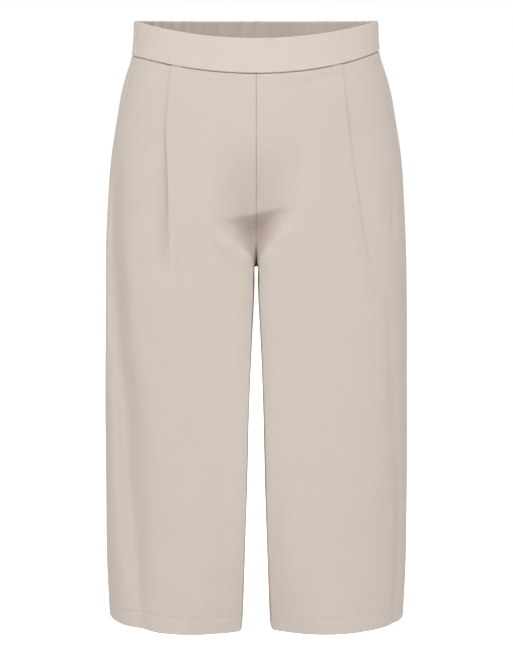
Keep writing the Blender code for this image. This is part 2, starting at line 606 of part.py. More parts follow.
def band_rows(around_of, low_of, high_of, steps):
    """Rows of a band across both halves, from the wearer's right to the left."""
    rows = []
    for step in np.linspace(0.0, 1.0, steps + 1):
        halves = []
        for side in (-1, 1):
            around = around_of(side)
            height = between(high_of(side, around), low_of(side, around), step)
            points = place(side, raised(side, around, height, 0.0))
            upper = raised(side, around, height + LIFT, 0.0)
            lifted = place(side, upper - raised(side, around, height - LIFT, 0.0))
            centre_first = around[0] < 0.5
            order = slice(None, None, -1) if (side == -1) == centre_first else slice(None)
            halves.append((points[order], lifted[order]))
        middle = (halves[0][0][-1:] + halves[1][0][:1]) / 2
        points = np.concatenate([halves[0][0][:-1], middle, halves[1][0][1:]])
        lifted = np.concatenate([halves[0][1][:-1], halves[1][1]])
        normals = unit(np.cross(np.gradient(points, axis=0), lifted), step in (0.0, 1.0))
        rows.append((points, normals, np.linspace(0, 1, len(points))))
    return rows


def band_bottom(side, around):
    return waist_seam(side, around) + GAP / 2


def front_band():
    def around_of(side):
        end = float(side_seam(side, 0.0)) - GAP / 2 / float(pace(side, 0.95, 0.0))
        return np.linspace(0.0, end, 17)

    rows = band_rows(around_of, band_bottom, band_top, 3)
    edges = (0.8, 1.0, 1.0, 0.95)
    halves = [np.full(len(row[0]), BAND_WALL / 2 * edge) for row, edge in zip(rows, edges)]
    shell("waistband_front", rows, halves, CREPE)


def back_band_columns(side):
    start = float(side_seam(side, 0.0)) + GAP / 2 / float(pace(side, 1.05, 0.0))
    width = CREASE_WIDTH / 90.0
    marks = [start] + creases(side, start + 2 * width, 2.0 - width) + [2.0]
    columns = [start]
    for a, b in zip(marks[:-1], marks[1:]):
        columns += [a + width, (a + b) / 2, b - width, b]
    return np.array(columns)


def back_band():
    rows = band_rows(back_band_columns, band_bottom, band_top, 3)
    right, left = back_band_columns(-1), back_band_columns(1)
    angle = np.concatenate([back_degrees(-1, right), back_degrees(1, left[::-1])[1:]])
    halves = []
    for edge in (0.75, 1.0, 1.0, 0.85):
        half = np.full(len(angle), ELASTIC_WALL / 2 * edge)
        for degrees, depth, _ in GATHERS:
            half -= depth * np.exp(-(((angle - degrees) / CREASE_WIDTH) ** 2)) * edge
        halves.append(half)
    shell("waistband_back", rows, halves, CREPE)


def hem_ring(front, back):
    """The turned-up hem: a ring just inside the last two rows of a leg's panels."""
    inset = -(PANEL_WALL + HEM_WALL) / 2 - GAP
    rows = []
    for (front_points, front_normals, _), (back_points, back_normals, _) in zip(front[-2:], back[-2:]):
        at_side = (front_points[-1:] + back_points[:1]) / 2
        at_inseam = (front_points[:1] + back_points[-1:]) / 2
        points = np.concatenate([at_inseam, front_points[1:-1], at_side, back_points[1:-1]])
        normals = np.concatenate([front_normals, back_normals[1:-1]])
        rows.append((points + inset * normals, normals, np.linspace(0, 1, len(points))))
    return rows


def main():
    clear_scene()
    for side, word in ((-1, "right"), (1, "left")):
        front, back = front_panel(side), back_panel(side)
        for kind, rows in (("front", front), ("back", back)):
            halves = [np.full(len(row[0]), PANEL_WALL / 2) for row in rows]
            shell(f"{kind}_{word}", rows, halves, CREPE)
        rows = hem_ring(front, back)
        halves = [np.full(len(row[0]), HEM_WALL / 2) for row in rows]
        shell(f"hem_{word}", rows, halves, CREPE_INSIDE, closed=True)
    front_band()
    back_band()


main()
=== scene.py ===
"""Culottes in heavy crepe: the cloth, sewing, finish, light and camera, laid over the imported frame.

Metres, +Z up. The front faces -Y and the wearer's left is at +X. Every horizontal section of one half is a
ring: "around" is 0 at the centre front (below the crotch, at the inseam), 1 at the widest point of the side
and 2 at the centre back. Side -1 is the wearer's right half, side 1 the left.
"""

import bpy
import numpy as np
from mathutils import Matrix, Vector


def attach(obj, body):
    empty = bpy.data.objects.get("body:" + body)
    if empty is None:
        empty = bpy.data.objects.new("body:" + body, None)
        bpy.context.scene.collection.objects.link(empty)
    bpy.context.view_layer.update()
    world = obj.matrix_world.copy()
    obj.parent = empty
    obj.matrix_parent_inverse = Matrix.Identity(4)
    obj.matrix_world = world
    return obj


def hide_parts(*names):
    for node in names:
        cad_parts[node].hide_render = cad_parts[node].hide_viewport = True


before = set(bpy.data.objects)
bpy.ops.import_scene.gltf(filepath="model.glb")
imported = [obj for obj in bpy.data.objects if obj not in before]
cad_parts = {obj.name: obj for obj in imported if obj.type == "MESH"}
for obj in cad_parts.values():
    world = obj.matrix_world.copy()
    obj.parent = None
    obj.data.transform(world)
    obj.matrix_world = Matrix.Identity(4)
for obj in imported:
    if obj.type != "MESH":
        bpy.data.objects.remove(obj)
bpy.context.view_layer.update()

# ======== the garment's sizes

TENTHS = 1e4  # in a metre, for the tables in tenths of a millimetre

# ---- cloth
GAP = 0.0003  # between two pieces at a seam
CREPE = 0.0010  # one layer
BAND_WAVES = (0.13, 1.7, 0.1, 0.8)  # shift and stretch of the panels' waves, where they start, and size
BAND_HALF = 0.0013  # half the thickness of the front band: two layers and its stiffening
ELASTIC_HALF = 0.0019  # half the thickness of the back band at a puff
PANEL_FACE = 0.0008  # the outer face lies this far outside the frame's middle surface
HEM_HEIGHT = 0.0225
BAND_HEIGHT = 0.042  # nearly, to space its rows

# ---- heights
WAIST_TOP = 0.0212
FRONT_TOP = 0.0003
FRONT_SEAM = -0.0412
BACK_SEAM = -0.0225
CROTCH = -0.283
TORSO_LENGTH = 0.22
HEM = -0.7230
SEAM_FADE = -0.125

# ---- sizes of the sections, from the waist to the hem, as in the frame
PROFILE_COLUMNS = (
    "height", "half_width", "front", "back", "inner", "flat", "corner", "corner_share", "cleft",
    "outer_power",
)
PROFILE = np.array((
    (212, 1474, 990, 1040, 0, 0, 600, 0.1, 300, 2.2), (-220, 1512, 1050, 1100, 0, 0, 600, 0.1, 300, 2.2),
    (-400, 1572, 1085, 1145, 0, 0, 600, 0.1, 300, 2.2), (-630, 1638, 1120, 1195, 0, 0, 600, 0.1, 300, 2.2),
    (-1000, 1703, 1150, 1265, 0, 0, 600, 0.1, 300, 2.2), (-1500, 1780, 1170, 1330, 0, 40, 580, 0.1, 300, 2.2),
    (-2000, 1818, 1170, 1350, 0, 120, 520, 0.1, 280, 2.25),
    (-2200, 1829, 1165, 1344, 0, 170, 440, 0.1, 240, 2.27),
    (-2400, 1839, 1159, 1333, 0, 230, 240, 0.1, 100, 2.29),
    (-2560, 1845, 1153, 1320, 2, 290, 160, 0.08, 50, 2.3),
    (-2660, 1847, 1149, 1312, 6, 320, 170, 0.07, 30, 2.3),
    (-2710, 1848, 1147, 1307, 17, 340, 180, 0.07, 24, 2.3),
    (-3050, 1853, 1135, 1280, 28, 440, 220, 0.075, 20, 2.3),
    (-3800, 1865, 1100, 1220, 66, 660, 240, 0.078, 16, 2.3),
    (-4700, 1876, 1060, 1150, 98, 840, 260, 0.08, 14, 2.25),
    (-5700, 1882, 1015, 1080, 125, 960, 360, 0.11, 14, 2.15),
    (-6500, 1878, 985, 1020, 150, 960, 540, 0.2, 18, 2.05),
    (-7230, 1850, 965, 975, 178, 940, 800, 0.34, 24, 1.95),
)) / ((TENTHS,) * 7 + (1, TENTHS, 1))
INNER_POWER = 2.3
CORNER_POWER = 2.0  # how gently the front and back bend towards the inseam
CROTCH_BEHIND = 0.012
# thousandths: of a metre, and of the depths of the shallow hollow and the deep fork at the centre
CURVE_COLUMNS = ("height", "hollow", "fork")
FRONT_CURVE = np.array((
    (-234, 0, 0), (-242, 50, 6), (-248, 150, 30), (-254, 380, 100), (-260, 700, 280), (-267, 960, 580),
    (-275, 1000, 870), (-283, 1000, 1000),
)) / 1e3
BACK_CURVE = np.array((
    (-130, 0, 0), (-160, 200, 0), (-185, 450, 10), (-205, 700, 40), (-220, 880, 100), (-240, 1000, 250),
    (-262, 1000, 560), (-283, 1000, 1000),
)) / 1e3
# the front sinks between the thighs and folds under above the crotch: height, depth, half width on the right
# and on the left
HOLLOW = np.array((
    (-1150, 0, 620, 750), (-1400, 40, 610, 735), (-1650, 120, 590, 700), (-1900, 208, 560, 660),
    (-2050, 246, 540, 640), (-2100, 264, 535, 635), (-2140, 318, 525, 625), (-2190, 375, 495, 595),
    (-2250, 425, 445, 540), (-2320, 458, 365, 455), (-2396, 462, 268, 355), (-2468, 415, 180, 255),
    (-2540, 300, 110, 158), (-2600, 160, 70, 92), (-2680, 45, 50, 62), (-2760, 0, 40, 40), (-2830, 0, 40, 40),
)) / TENTHS
HOLLOW_TILT = {-1: 0.11, 1: -0.30}  # slope of the fold across the top of the crotch
TILT_REACH = 0.03
HOLLOW_POWERS = {-1: (2.3, 1.9), 1: (1.75, 2.2)}  # how flat its floor is, and how softly it ends
# the long trough down the front of the right leg, sunk straight back; outside: its outer wall's length
# against its inner one's
TROUGH_COLUMNS = ("height", "x", "depth", "half_width", "outside")
TROUGH = np.array((
    (-1150, 1640, 0, 92, 1.3), (-1500, 1680, 65, 92, 1.3), (-1900, 1720, 150, 97, 1.3),
    (-2350, 1745, 212, 105, 1.3), (-3120, 1712, 262, 120, 1.3), (-3840, 1664, 260, 132, 1.1),
    (-4570, 1594, 275, 165, 1.0), (-5300, 1562, 240, 157, 1.0), (-6040, 1504, 195, 152, 1.0),
    (-6790, 1440, 115, 122, 1.0), (-7230, 1410, 82, 112, 1.0),
)) / ((TENTHS,) * 4 + (1,))
TROUGH_END = (0.86, 0.985)  # around where its outer wall starts to die away, and where it has
SIDE_SEAM_TABLE = {  # height, around
    -1: ((WAIST_TOP, 0.86), (-0.030, 0.86), (-0.060, 0.90), (-0.12, 0.93), (-0.25, 0.935), (HEM, 0.93)),
    1: ((WAIST_TOP, 1.0), (HEM, 1.0)),
}
WAIST_SEAM_AT_SIDE = {-1: (-0.0212, 2.3), 1: (-0.0152, 1.9)}  # height, power of the dip to the front
TOP_DIP_POWER = 1.9
LEG_SKEW = {-1: 0.22, 1: 0.14}
SKEW_LENGTH = 0.35
ROW_TILT = np.array((  # heights of a panel's rows: at the centre seam or inseam, and at the side
    (-220, -220), (-720, -720), (-1250, -1250), (-1780, -1780), (-2000, -2020), (-2180, -2240),
    (-2330, -2460), (-2460, -2660), (-2570, -2850), (-2665, -3030), (-2745, -3200), (-2800, -3360),
    (-2830, -3520), (-2980, -3760), (-3250, -4060), (-3700, -4440), (-4300, -4900), (-5000, -5420),
    (-5700, -5950), (-6400, -6500), (-7005, -7005), (-7230, -7230),
)) / TENTHS
TILT_LENGTH = 0.75  # around over which a row falls

# ---- pleats: the middle of the front lies over the side part
PLEAT_COLUMNS = ("height", "fold_x", "tuck", "turn", "turn_length", "dip")
PRESSED = np.pi * (CREPE + GAP) / 2  # length of cloth in a turn that is pressed flat
PLEATS = {
    -1: (
        (-0.02, 0.1, 0.013, 180, PRESSED, 0.001), (-0.06, 0.1032, 0.011, 180, PRESSED, 0.0018),
        (-0.11, 0.107, 0.0075, 180, PRESSED, 0.0028), (-0.15, 0.1055, 0.0038, 174, PRESSED, 0.0034),
        (-0.19, 0.1042, 0.0018, 160, PRESSED, 0.0036), (-0.225, 0.1038, 0.001, 130, PRESSED, 0.0042),
        (-0.25, 0.1026, 0.0005, 84, 0.0022, 0.0034), (-0.282, 0.0992, 0.0004, 0, 0.004, 0),
    ),
    1: (
        (-0.02, 0.102, 0.012, 180, PRESSED, 0.0002), (-0.06, 0.1045, 0.009, 180, PRESSED, 0.0004),
        (-0.095, 0.108, 0.005, 172, PRESSED, 0.0005), (-0.13, 0.1125, 0.0014, 130, PRESSED, 0.0006),
        (-0.165, 0.1165, 0.0006, 72, 0.0026, 0.0006), (-0.205, 0.1225, 0.0004, 42, 0.004, 0.0005),
        (-0.24, 0.129, 0.0004, 24, 0.005, 0.0003), (-0.275, 0.134, 0.0004, 0, 0.006, 0),
    ),
}
PLEAT_AT = 0.4  # around where the rows' heights are taken for it
FOLD_SAMPLES = 241  # places on a row among which the fold is found
LEAST_TUCK = 0.0003  # a tuck that has run out
LIP = 0.30  # how much a fold's lips stand up
TUCK_BLEND = 0.034  # the side part comes back up to the surface over this distance
DIP_LENGTH = 0.0035  # from the pleat's edge to the deepest place beside it

# ---- turned edges at the seams: how far from the edge the cloth starts to turn, and how deep it goes
SEAM_TURN = (0.0010, 0.0010)
CENTRE_TURN = (0.0006, 0.0006)
WAIST_TURN = {"front": (0.0019, 0.0042), "back": (0.0019, 0.0030)}
BAND_TURN = (0.0016, 0.0019)
BAND_SEAM_TURN = (0.0012, 0.0010)
INNER_TURN = {"front": 0.0004, "back": 0.0006}  # depth of the same turn on the inside of a band
INNER_EDGE = 0.5  # the inside of a band turns less than its outside at a side seam, by this
THINNEST = 0.0003  # of the back band's wall, in a crease
# around of a panel's centre seam, and where metres are taken for it and for the side seam
SEAMS_AT = {"front": (0.0, 0.02, 0.95), "back": (2.0, 1.98, 1.05)}

# ---- the seam allowance under the cloth below the waist seam: around, height of the ridge, length
ALLOWANCE_RIDGE = {
    -1: np.array((
        (0, 3, 100), (0.2, 3.5, 100), (0.45, 4.5, 100), (0.75, 4.5, 110), (1, 3, 100), (2, 3, 100),
    )) / (1, TENTHS, TENTHS),
    1: np.array((
        (0, 3, 100), (0.08, 5.5, 120), (0.2, 11, 140), (0.33, 9.5, 110), (0.43, 6, 90), (0.75, 4.5, 90),
        (1, 3, 100), (2, 3, 100),
    )) / (1, TENTHS, TENTHS),
}
RIDGE_RISE, RIDGE_FALL = 0.45, 0.75  # shares of its length
RIDGE_DIP = (0.35, 1.25, 0.3)  # depth against the ridge, where it is and half width, in shares of its length

# ---- folds: millimetres of height, thousandths of around, tenths of a millimetre of depth and millimetres of
# half width along each; a negative depth is a ridge
RIGHT_FOLDS = (
    # the pleat runs out
    ((-235, 535, 0, 6), (-268, 520, 11, 7), (-310, 502, 9, 9), (-363, 483, 6, 10), (-430, 470, 0, 12)),
    # the ridge beside the crotch
    ((-226, 390, 0, 8), (-238, 330, -8, 9), (-254, 250, -12, 9), (-272, 180, -8, 9), (-300, 130, 0, 9)),
    ((-220, 380, 0, 8), (-240, 355, 13, 10), (-268, 325, 18, 11), (-292, 300, 12, 12), (-335, 280, 0, 12)),
    # inner side of the leg
    ((-420, 190, 0, 10), (-475, 215, 17, 12), (-548, 270, 24, 14), (-640, 255, 22, 14),
     (-699, 290, 18, 13), (-723, 300, 16, 13)),
    # small puckers at the top of the side seam
    ((-27, 742, 5, 2.2), (-31.5, 747, 10, 2.2), (-35, 755, 0, 2)),
    ((-40, 765, 0, 2), (-44, 768, 8, 2), (-48, 772, 0, 2)),
    ((-38, 800, 0, 3), (-52, 822, 11, 4), (-66, 824, 12, 5), (-88, 835, 0, 6)),
    # flutes of the hem
    ((-655, 690, 0, 7), (-700, 705, 8, 7), (-723, 712, 12, 7)),
    ((-660, 440, 0, 8), (-700, 430, 6, 8), (-723, 425, 9, 8)),
    # back of the leg
    ((-200, 1400, 0, 13), (-270, 1420, 22, 14), (-400, 1490, 30, 16), (-550, 1530, 30, 17),
     (-723, 1500, 26, 18)),
    ((-300, 1830, 0, 12), (-380, 1790, 18, 13), (-480, 1760, 22, 14), (-600, 1780, 22, 14),
     (-723, 1740, 20, 15)),
    ((-330, 1170, 0, 10), (-430, 1150, 15, 12), (-560, 1180, 18, 13), (-723, 1170, 16, 14)),
    ((-140, 1680, 0, 10), (-180, 1730, 12, 11), (-212, 1820, 22, 10), (-240, 1930, 24, 9),
     (-252, 1980, 20, 8)),
    ((-215, 1560, 0, 10), (-240, 1650, -12, 11), (-262, 1760, -16, 11), (-290, 1870, -10, 11),
     (-320, 1900, 0, 11)),
    ((-235, 1540, 0, 9), (-270, 1600, 13, 11), (-310, 1660, 12, 12), (-360, 1680, 0, 13)),
    ((-650, 1330, 0, 8), (-700, 1320, 8, 8), (-723, 1315, 12, 8)),
    ((-660, 1640, 0, 8), (-700, 1635, 7, 8), (-723, 1630, 10, 8)),
)
LEFT_FOLDS = (
    # drawn from the crotch up to the hip
    ((-90, 285, 0, 8), (-120, 290, 8, 9), (-168, 290, 16, 10), (-200, 270, 10, 10), (-216, 250, 0, 9)),
    # the pleat runs out into a dimple
    ((-200, 600, 0, 7), (-222, 632, 14, 9), (-240, 655, 23, 11), (-262, 668, 12, 13), (-300, 670, 0, 15)),
    ((-155, 585, 0, 7), (-178, 600, -6, 8), (-222, 690, -9, 9), (-250, 715, 0, 10)),
    # the outer side of the leg
    ((-300, 760, 0, 10), (-368, 776, 14, 12), (-472, 785, 22, 13), (-566, 830, 27, 12),
     (-650, 825, 25, 12), (-723, 815, 21, 12)),
    ((-240, 150, 0, 8), (-254, 185, -11, 9), (-268, 235, -11, 10), (-295, 250, 0, 10)),
    ((-172, 800, 0, 5), (-191, 804, 9, 6), (-222, 799, 11, 6), (-248, 800, 0, 8)),
    ((-520, 450, 0, 14), (-590, 440, 7, 16), (-660, 450, 0, 16)),
    ((-440, 200, 0, 10), (-540, 185, 10, 12), (-660, 175, 13, 12), (-723, 190, 12, 12)),
    # flutes of the hem
    ((-672, 100, 0, 5), (-700, 95, 10, 5), (-723, 90, 13, 5)),
    ((-665, 620, 0, 8), (-700, 625, 6, 8), (-723, 630, 9, 8)),
    # back of the leg
    ((-190, 1310, 0, 13), (-260, 1350, 24, 15), (-380, 1400, 32, 16), (-520, 1420, 32, 17),
     (-660, 1450, 28, 17), (-723, 1460, 26, 18)),
    ((-290, 1160, 0, 11), (-380, 1150, 18, 13), (-460, 1150, 22, 14), (-620, 1180, 22, 14),
     (-723, 1200, 20, 14)),
    ((-360, 1760, 0, 11), (-450, 1780, 17, 13), (-580, 1740, 21, 14), (-723, 1760, 18, 15)),
    ((-150, 1620, 0, 10), (-186, 1700, 11, 11), (-216, 1800, 20, 10), (-240, 1920, 24, 9),
     (-252, 1980, 20, 8)),
    ((-220, 1580, 0, 10), (-246, 1680, -12, 11), (-268, 1780, -15, 11), (-296, 1870, -9, 11),
     (-330, 1900, 0, 11)),
    ((-655, 1590, 0, 8), (-700, 1600, 8, 8), (-723, 1605, 11, 8)),
    ((-660, 1280, 0, 7), (-700, 1290, 6, 7), (-723, 1295, 9, 7)),
)
FOLDS = {side: [np.array(path) / (1e3, 1e3, TENTHS, 1e3) for path in paths]
         for side, paths in ((-1, RIGHT_FOLDS), (1, LEFT_FOLDS))}

# ---- gathers of the back: angle from the centre back, depth of the crease in the band, length below it
GATHERS = np.array((
    (-84, 7, 300), (-76, 8, 450), (-68.5, 6, 350), (-60.5, 8, 600), (-52, 9, 450), (-45, 6, 700),
    (-38, 9, 550), (-32, 7, 400), (-26.5, 8, 750), (-19, 9, 600), (-13, 6, 350), (-7.3, 9, 650), (0, 10, 500),
    (7.8, 9, 600), (13.3, 7, 400), (18.5, 8, 700), (24.5, 9, 550), (31, 6, 450), (37, 9, 750), (43.7, 7, 500),
    (51, 9, 650), (58.5, 6, 350), (65.5, 8, 550), (74, 9, 450), (82.5, 6, 300),
)) / (1, TENTHS, TENTHS)
CREASE_WIDTH = 2.0  # degrees, half width of a gather's crease in the band
PANEL_CREASE_WIDTH = 2.4  # degrees, the same just below the band
PANEL_CREASE_SCALE = 3.3  # a crease in the panel is this much deeper than in the band
FINE_GATHERS = 90  # finer creases between the gathers
FINE_SPREAD = 88  # degrees
FINE_RANGES = (  # of each: shift of its angle, depth, half width in degrees, lean, middle
    (-0.8, 0.8), (0.00010, 0.00042), (0.45, 0.85), (-1.6, 1.6), (0.1, 0.9),
)
PANEL_GATHER_REACH = 1.6  # a gather fades over this many of its lengths
PANEL_FINE = (1.5, 1.3)  # the finer creases below the band: depth and width against those in the band
CUSP_POWER = 1.35
PANEL_FINE_LENGTH = (0.014, 0.02)  # shortest, and how much longer the longest
GATHERS_END = (92, 6)  # degrees where they have faded out, and over how many they fade
CENTRE_CREASE = 0.0007  # the groove at the middle of the back band
CENTRE_CREASE_WIDTH = 0.55  # degrees
BAND_CREASE_SCALES = (1.8, 0.9)  # outside and inside, besides the band's own bend at a crease
CREASES_AT_TOP = 0.25  # share of the creases that is left on the band's folded top
PUCKER_START = 0.006  # from the side seam, where the puckers are full
SWAY = 0.00045  # how far the middle of the back band moves between two gathers
SWAY_WIDTH = 3.2  # degrees
GATHER_LEAN = 1.4  # degrees, of a gather over the band's height
LEAN_TURN = (2.3, 0.5)  # how the lean changes from one gather to the next
BAND_GATHER_SCALE = 1.25
GATHER_WINDOW = (0.62, 0.38, 0.6)  # share of its depth everywhere, more at its middle, and that place's shift
FINE_WINDOW = (0.35, 0.65, 0.42)  # the same for a finer crease, and over what share of the height it fades

# ---- rows and columns of the meshes
EDGE_STEPS = 5
FRONT_MIDDLE_COLUMNS = 72
FRONT_SIDE_COLUMNS = 52
MIDDLE_SPREAD, SIDE_SPREAD = 1.25, 1.12  # above 1: closer together at the first column
TURN_STEPS = 8
TUCK_STEPS = 4
BACK_COLUMNS = 130
ROW_ZONES = (  # height where each zone of rows starts, spacing of the rows in it
    (-0.0236, 0.0013), (-0.040, 0.0022), (-0.110, 0.0030), (-0.210, 0.0013), (-0.230, 0.0024),
    (-0.400, 0.0040), (-0.694, 0.0022), (-0.6985, 0.0008), (-0.7095, 0.0024),
)
HEM_TURN = 0.00125  # radius of the hem's turned edge, on its outer face
HEM_TURN_STEPS = 8
HEM_COLUMNS = 280
HEM_ROWS = 14
BAND_COLUMNS = 90  # of each half of the front band
BAND_ROWS = 16
ELASTIC_COLUMNS = 240  # of each half of the back band
ELASTIC_ROWS = 22
WAVE_SIZE = 0.00007
WAVE_TURNS = range(3, 15)  # half turns of the waves round a section
WAVE_SEED, PANEL_SEED, BAND_SEED = 5, 11, 7
MERGE = 2e-6  # points nearer than this are one
SMOOTH_DEGREES = 70

# ---- sewing
STITCH_HEIGHT = {  # around, height of the hem's stitching above the hem
    -1: np.array((
        (0, 205), (0.3, 214), (0.62, 214), (0.8, 192), (0.94, 170), (1.1, 190), (1.4, 214), (2, 205),
    )) / (1, TENTHS),
    1: np.array((
        (0, 190), (0.12, 205), (0.3, 214), (1, 212), (1.8, 214), (2, 190),
    )) / (1, TENTHS),
}
STITCH_SINK = 0.00032  # how deep the stitching pulls the cloth in
STITCH_PULL = 0.0010  # half width of the dent
STITCH_RUN = (0.004, 1.996, 900)  # around of its ends, and points between them
STITCH_LENGTH = 0.0026
STITCH_PITCH = 0.0031
THREAD = 0.00030  # thickness of the thread
STITCH_SHAPE = (0.55, 0.95, 1.0, 0.95, 0.55)  # thickness along a stitch, against the thread's
STITCH_SIDES = 6
STITCH_ARCH, STITCH_DIP = 0.9, 0.55  # rise of its middle and depth of its ends, against the thread's

ALLOWANCE = 0.008  # how far the centre seam's pressed allowances reach to each side
STRIP_THICKNESS = 0.0008
STRIP_SPACING = 0.003
STRIP_START = 0.004  # below the waist seam
STRIP_SHARE, STRIP_SAMPLES, LINE_SAMPLES = 0.35, 400, 3000  # where its points are looked for
STRIP_GAP = 0.0002  # between the centre strip and the cloth
STRIP_STEPS = ALLOWANCE * np.array([0.0, 0.05, 0.1, 0.2, 0.4, 0.7, 1.0])
WAIST_STRIP_STEPS = np.linspace(-0.013, 0.009, 9)  # below the waist seam
WAIST_STRIP_DEPTH = 0.0052  # inside the bare surface, clear of the gathers
WAIST_STRIP_COLUMNS = 200

LIFT = 4e-4  # of height, for the normals of the stitching
NUDGE = 2e-3  # of around or height, for slopes
LEAST_PACE = 0.02  # metres for one unit of around
SIDES = {-1: "right", 1: "left"}


# ======== sections


def smooth_rows(rows, column, height):
    """The column's value at each height, on a smooth curve through the rows."""
    rows = np.asarray(rows, float)[::-1]
    z, values = rows[:, 0], rows[:, column]
    slopes = np.gradient(values, z)
    height = np.clip(np.asarray(height, float), z[0], z[-1])
    k = np.clip(np.searchsorted(z, height) - 1, 0, len(z) - 2)
    span = z[k + 1] - z[k]
    t = (height - z[k]) / span
    ends = (2 * t**3 - 3 * t**2 + 1) * values[k] + (3 * t**2 - 2 * t**3) * values[k + 1]
    return ends + (t**3 - 2 * t**2 + t) * span * slopes[k] + (t**3 - t**2) * span * slopes[k + 1]


def ease(t):
    t = np.clip(t, 0.0, 1.0)
    return t * t * (3 - 2 * t)


def between(low, high, t):
    return low + (high - low) * t


def under_crotch(name, behind, height):
    """How far the centre has sunk, in front or behind: 0 above its curve, 1 from the crotch down."""
    front, back = (np.clip(smooth_rows(curve, CURVE_COLUMNS.index(name), height), 0.0, 1.0)
                   for curve in (FRONT_CURVE, BACK_CURVE))
    return np.where(behind, back, front)


def groove(x, inner, width, sunk):
    """The share of the groove's depth at x: an arc of a superellipse, shallow when little of it is sunk."""
    sunk = np.maximum(sunk, 1e-4)
    start_cos = (1 - np.clip(1 - sunk, 0, 1) ** INNER_POWER) ** (1 / INNER_POWER)
    reach = np.clip((x - inner) / width, 0.0, 1.0)
    cosine = (1 - reach) * start_cos
    return (1 - (1 - cosine**INNER_POWER) ** (1 / INNER_POWER)) / sunk


def hollow(side, past, height):
    """How far the front is sunk between the thighs, at a distance from the centre."""
    level = height + HOLLOW_TILT[side] * np.minimum(past, TILT_REACH)
    depth, width = smooth_rows(HOLLOW, 1, level), smooth_rows(HOLLOW, 2 if side < 0 else 3, level)
    across = np.clip(past / width, 0.0, 1.0)
    floor, end = HOLLOW_POWERS[side]
    return np.maximum(depth, 0.0) * (1 - across**floor) ** end


def trough_at(name, height):
    return smooth_rows(TROUGH, TROUGH_COLUMNS.index(name), height)


def trough(x, share, height):
    """How far the front of the right leg is sunk in its long trough."""
    offset = (x - trough_at("x", height)) / trough_at("half_width", height)
    offset = np.where(offset > 0, offset / trough_at("outside", height), offset)
    start, end = TROUGH_END
    return trough_at("depth", height) * np.exp(-(offset**2)) * (1 - ease((share - start) / (end - start)))


def section(side, around, height):
    """x and y of the bare surface for the half at +X."""
    around, height = np.broadcast_arrays(np.asarray(around, float), np.asarray(height, float))
    around = np.where(height < CROTCH, around % 2.0, np.clip(around, 0.0, 2.0))
    behind = around > 1.0
    share = np.where(behind, 2.0 - around, around)
    half_width, front, back, inner, flat, corner, corner_share, cleft, outer_power = (
        smooth_rows(PROFILE, column, height) for column in range(1, len(PROFILE_COLUMNS)))
    torso = 1 - ease((BACK_SEAM - height) / TORSO_LENGTH)
    across = between((1 - np.cos(np.pi * share)) / 2, np.sin(np.pi * share / 2), torso)
    x = inner + (half_width - inner) * across
    past = np.clip((x - flat) / (half_width - flat), 0.0, 1.0)
    depth = np.where(behind, back, front)
    full = depth + np.where(behind, -CROTCH_BEHIND, CROTCH_BEHIND)
    reach = depth * (1 - past**outer_power) ** (1 / outer_power)
    bend = (1 - np.clip((x - inner) / corner, 0.0, 1.0)) ** CORNER_POWER
    reach = reach - full * corner_share * under_crotch("hollow", behind, height) * bend
    sunk = under_crotch("fork", behind, height)
    reach = reach - full * (1 - corner_share) * sunk * groove(x, inner, cleft, sunk)
    reach = reach - np.where(behind, 0.0, hollow(side, x - inner, height))
    if side < 0:
        reach = reach - np.where(behind, 0.0, trough(x, share, height))
    lean = LEG_SKEW[side] * ease((CROTCH - height) / SKEW_LENGTH) * (x - (half_width + inner) / 2)
    return x, np.where(behind, reach, -reach) + lean


def way_along(side, around, height):
    """x and y from a little before a place on the section to a little after it."""
    ahead = section(side, around + NUDGE, height)
    back = section(side, around - NUDGE, height)
    return ahead[0] - back[0], ahead[1] - back[1]


def pace(side, around, height):
    """Metres along the section for one unit of around."""
    return np.maximum(np.hypot(*way_along(side, around, height)) / (2 * NUDGE), LEAST_PACE)


def raised(side, around, height, rise):
    """Points at a distance outside the bare surface, measured in the section's own plane."""
    x, y = section(side, around, height)
    along_x, along_y = way_along(side, around, height)
    length = np.maximum(np.hypot(along_x, along_y), 1e-9)
    return np.stack([x + rise * along_y / length, y - rise * along_x / length, height + 0 * x], axis=-1)


def side_seam(side, height):
    heights, places = np.transpose(SIDE_SEAM_TABLE[side])
    return np.interp(-np.asarray(height, float), -heights, places)


def dip_to_front(around, power):
    return np.clip(np.cos(np.pi * np.clip(around, 0, 1) / 2), 0, 1) ** power


def waist_seam(side, around):
    """Height of the waist seam: lowest at the centre front."""
    at_side, power = WAIST_SEAM_AT_SIDE[side]
    front = at_side - (at_side - FRONT_SEAM) * dip_to_front(around, power)
    back = between(at_side, BACK_SEAM, ease(np.clip(around - 1, 0, 1)))
    return np.where(np.asarray(around) < 1, front, back)


def band_top(around):
    return WAIST_TOP - (WAIST_TOP - FRONT_TOP) * dip_to_front(around, TOP_DIP_POWER)


def row_heights(side, middle, around):
    """Heights along a panel's row: it falls to the side at the fork, and follows the waist seam above."""
    tilt = [((centre + outer) / 2, centre, outer) for centre, outer in ROW_TILT]
    centre, outer = smooth_rows(tilt, 1, middle), smooth_rows(tilt, 2, middle)
    share = np.where(around > 1, 2.0 - around, around)
    level = between(centre, outer, ease(np.clip(share, 0, 1) / TILT_LENGTH))
    top = ROW_TILT[0][0]
    follow = 1 - ease((top - centre) / (top - SEAM_FADE))
    return level + (waist_seam(side, around) - GAP / 2 - top) * follow


def heights_at(side, middle, around):
    """Height of each row of a panel at one place around."""
    return row_heights(side, middle, np.full(len(middle), around))


# ======== folds, gathers and turned edges


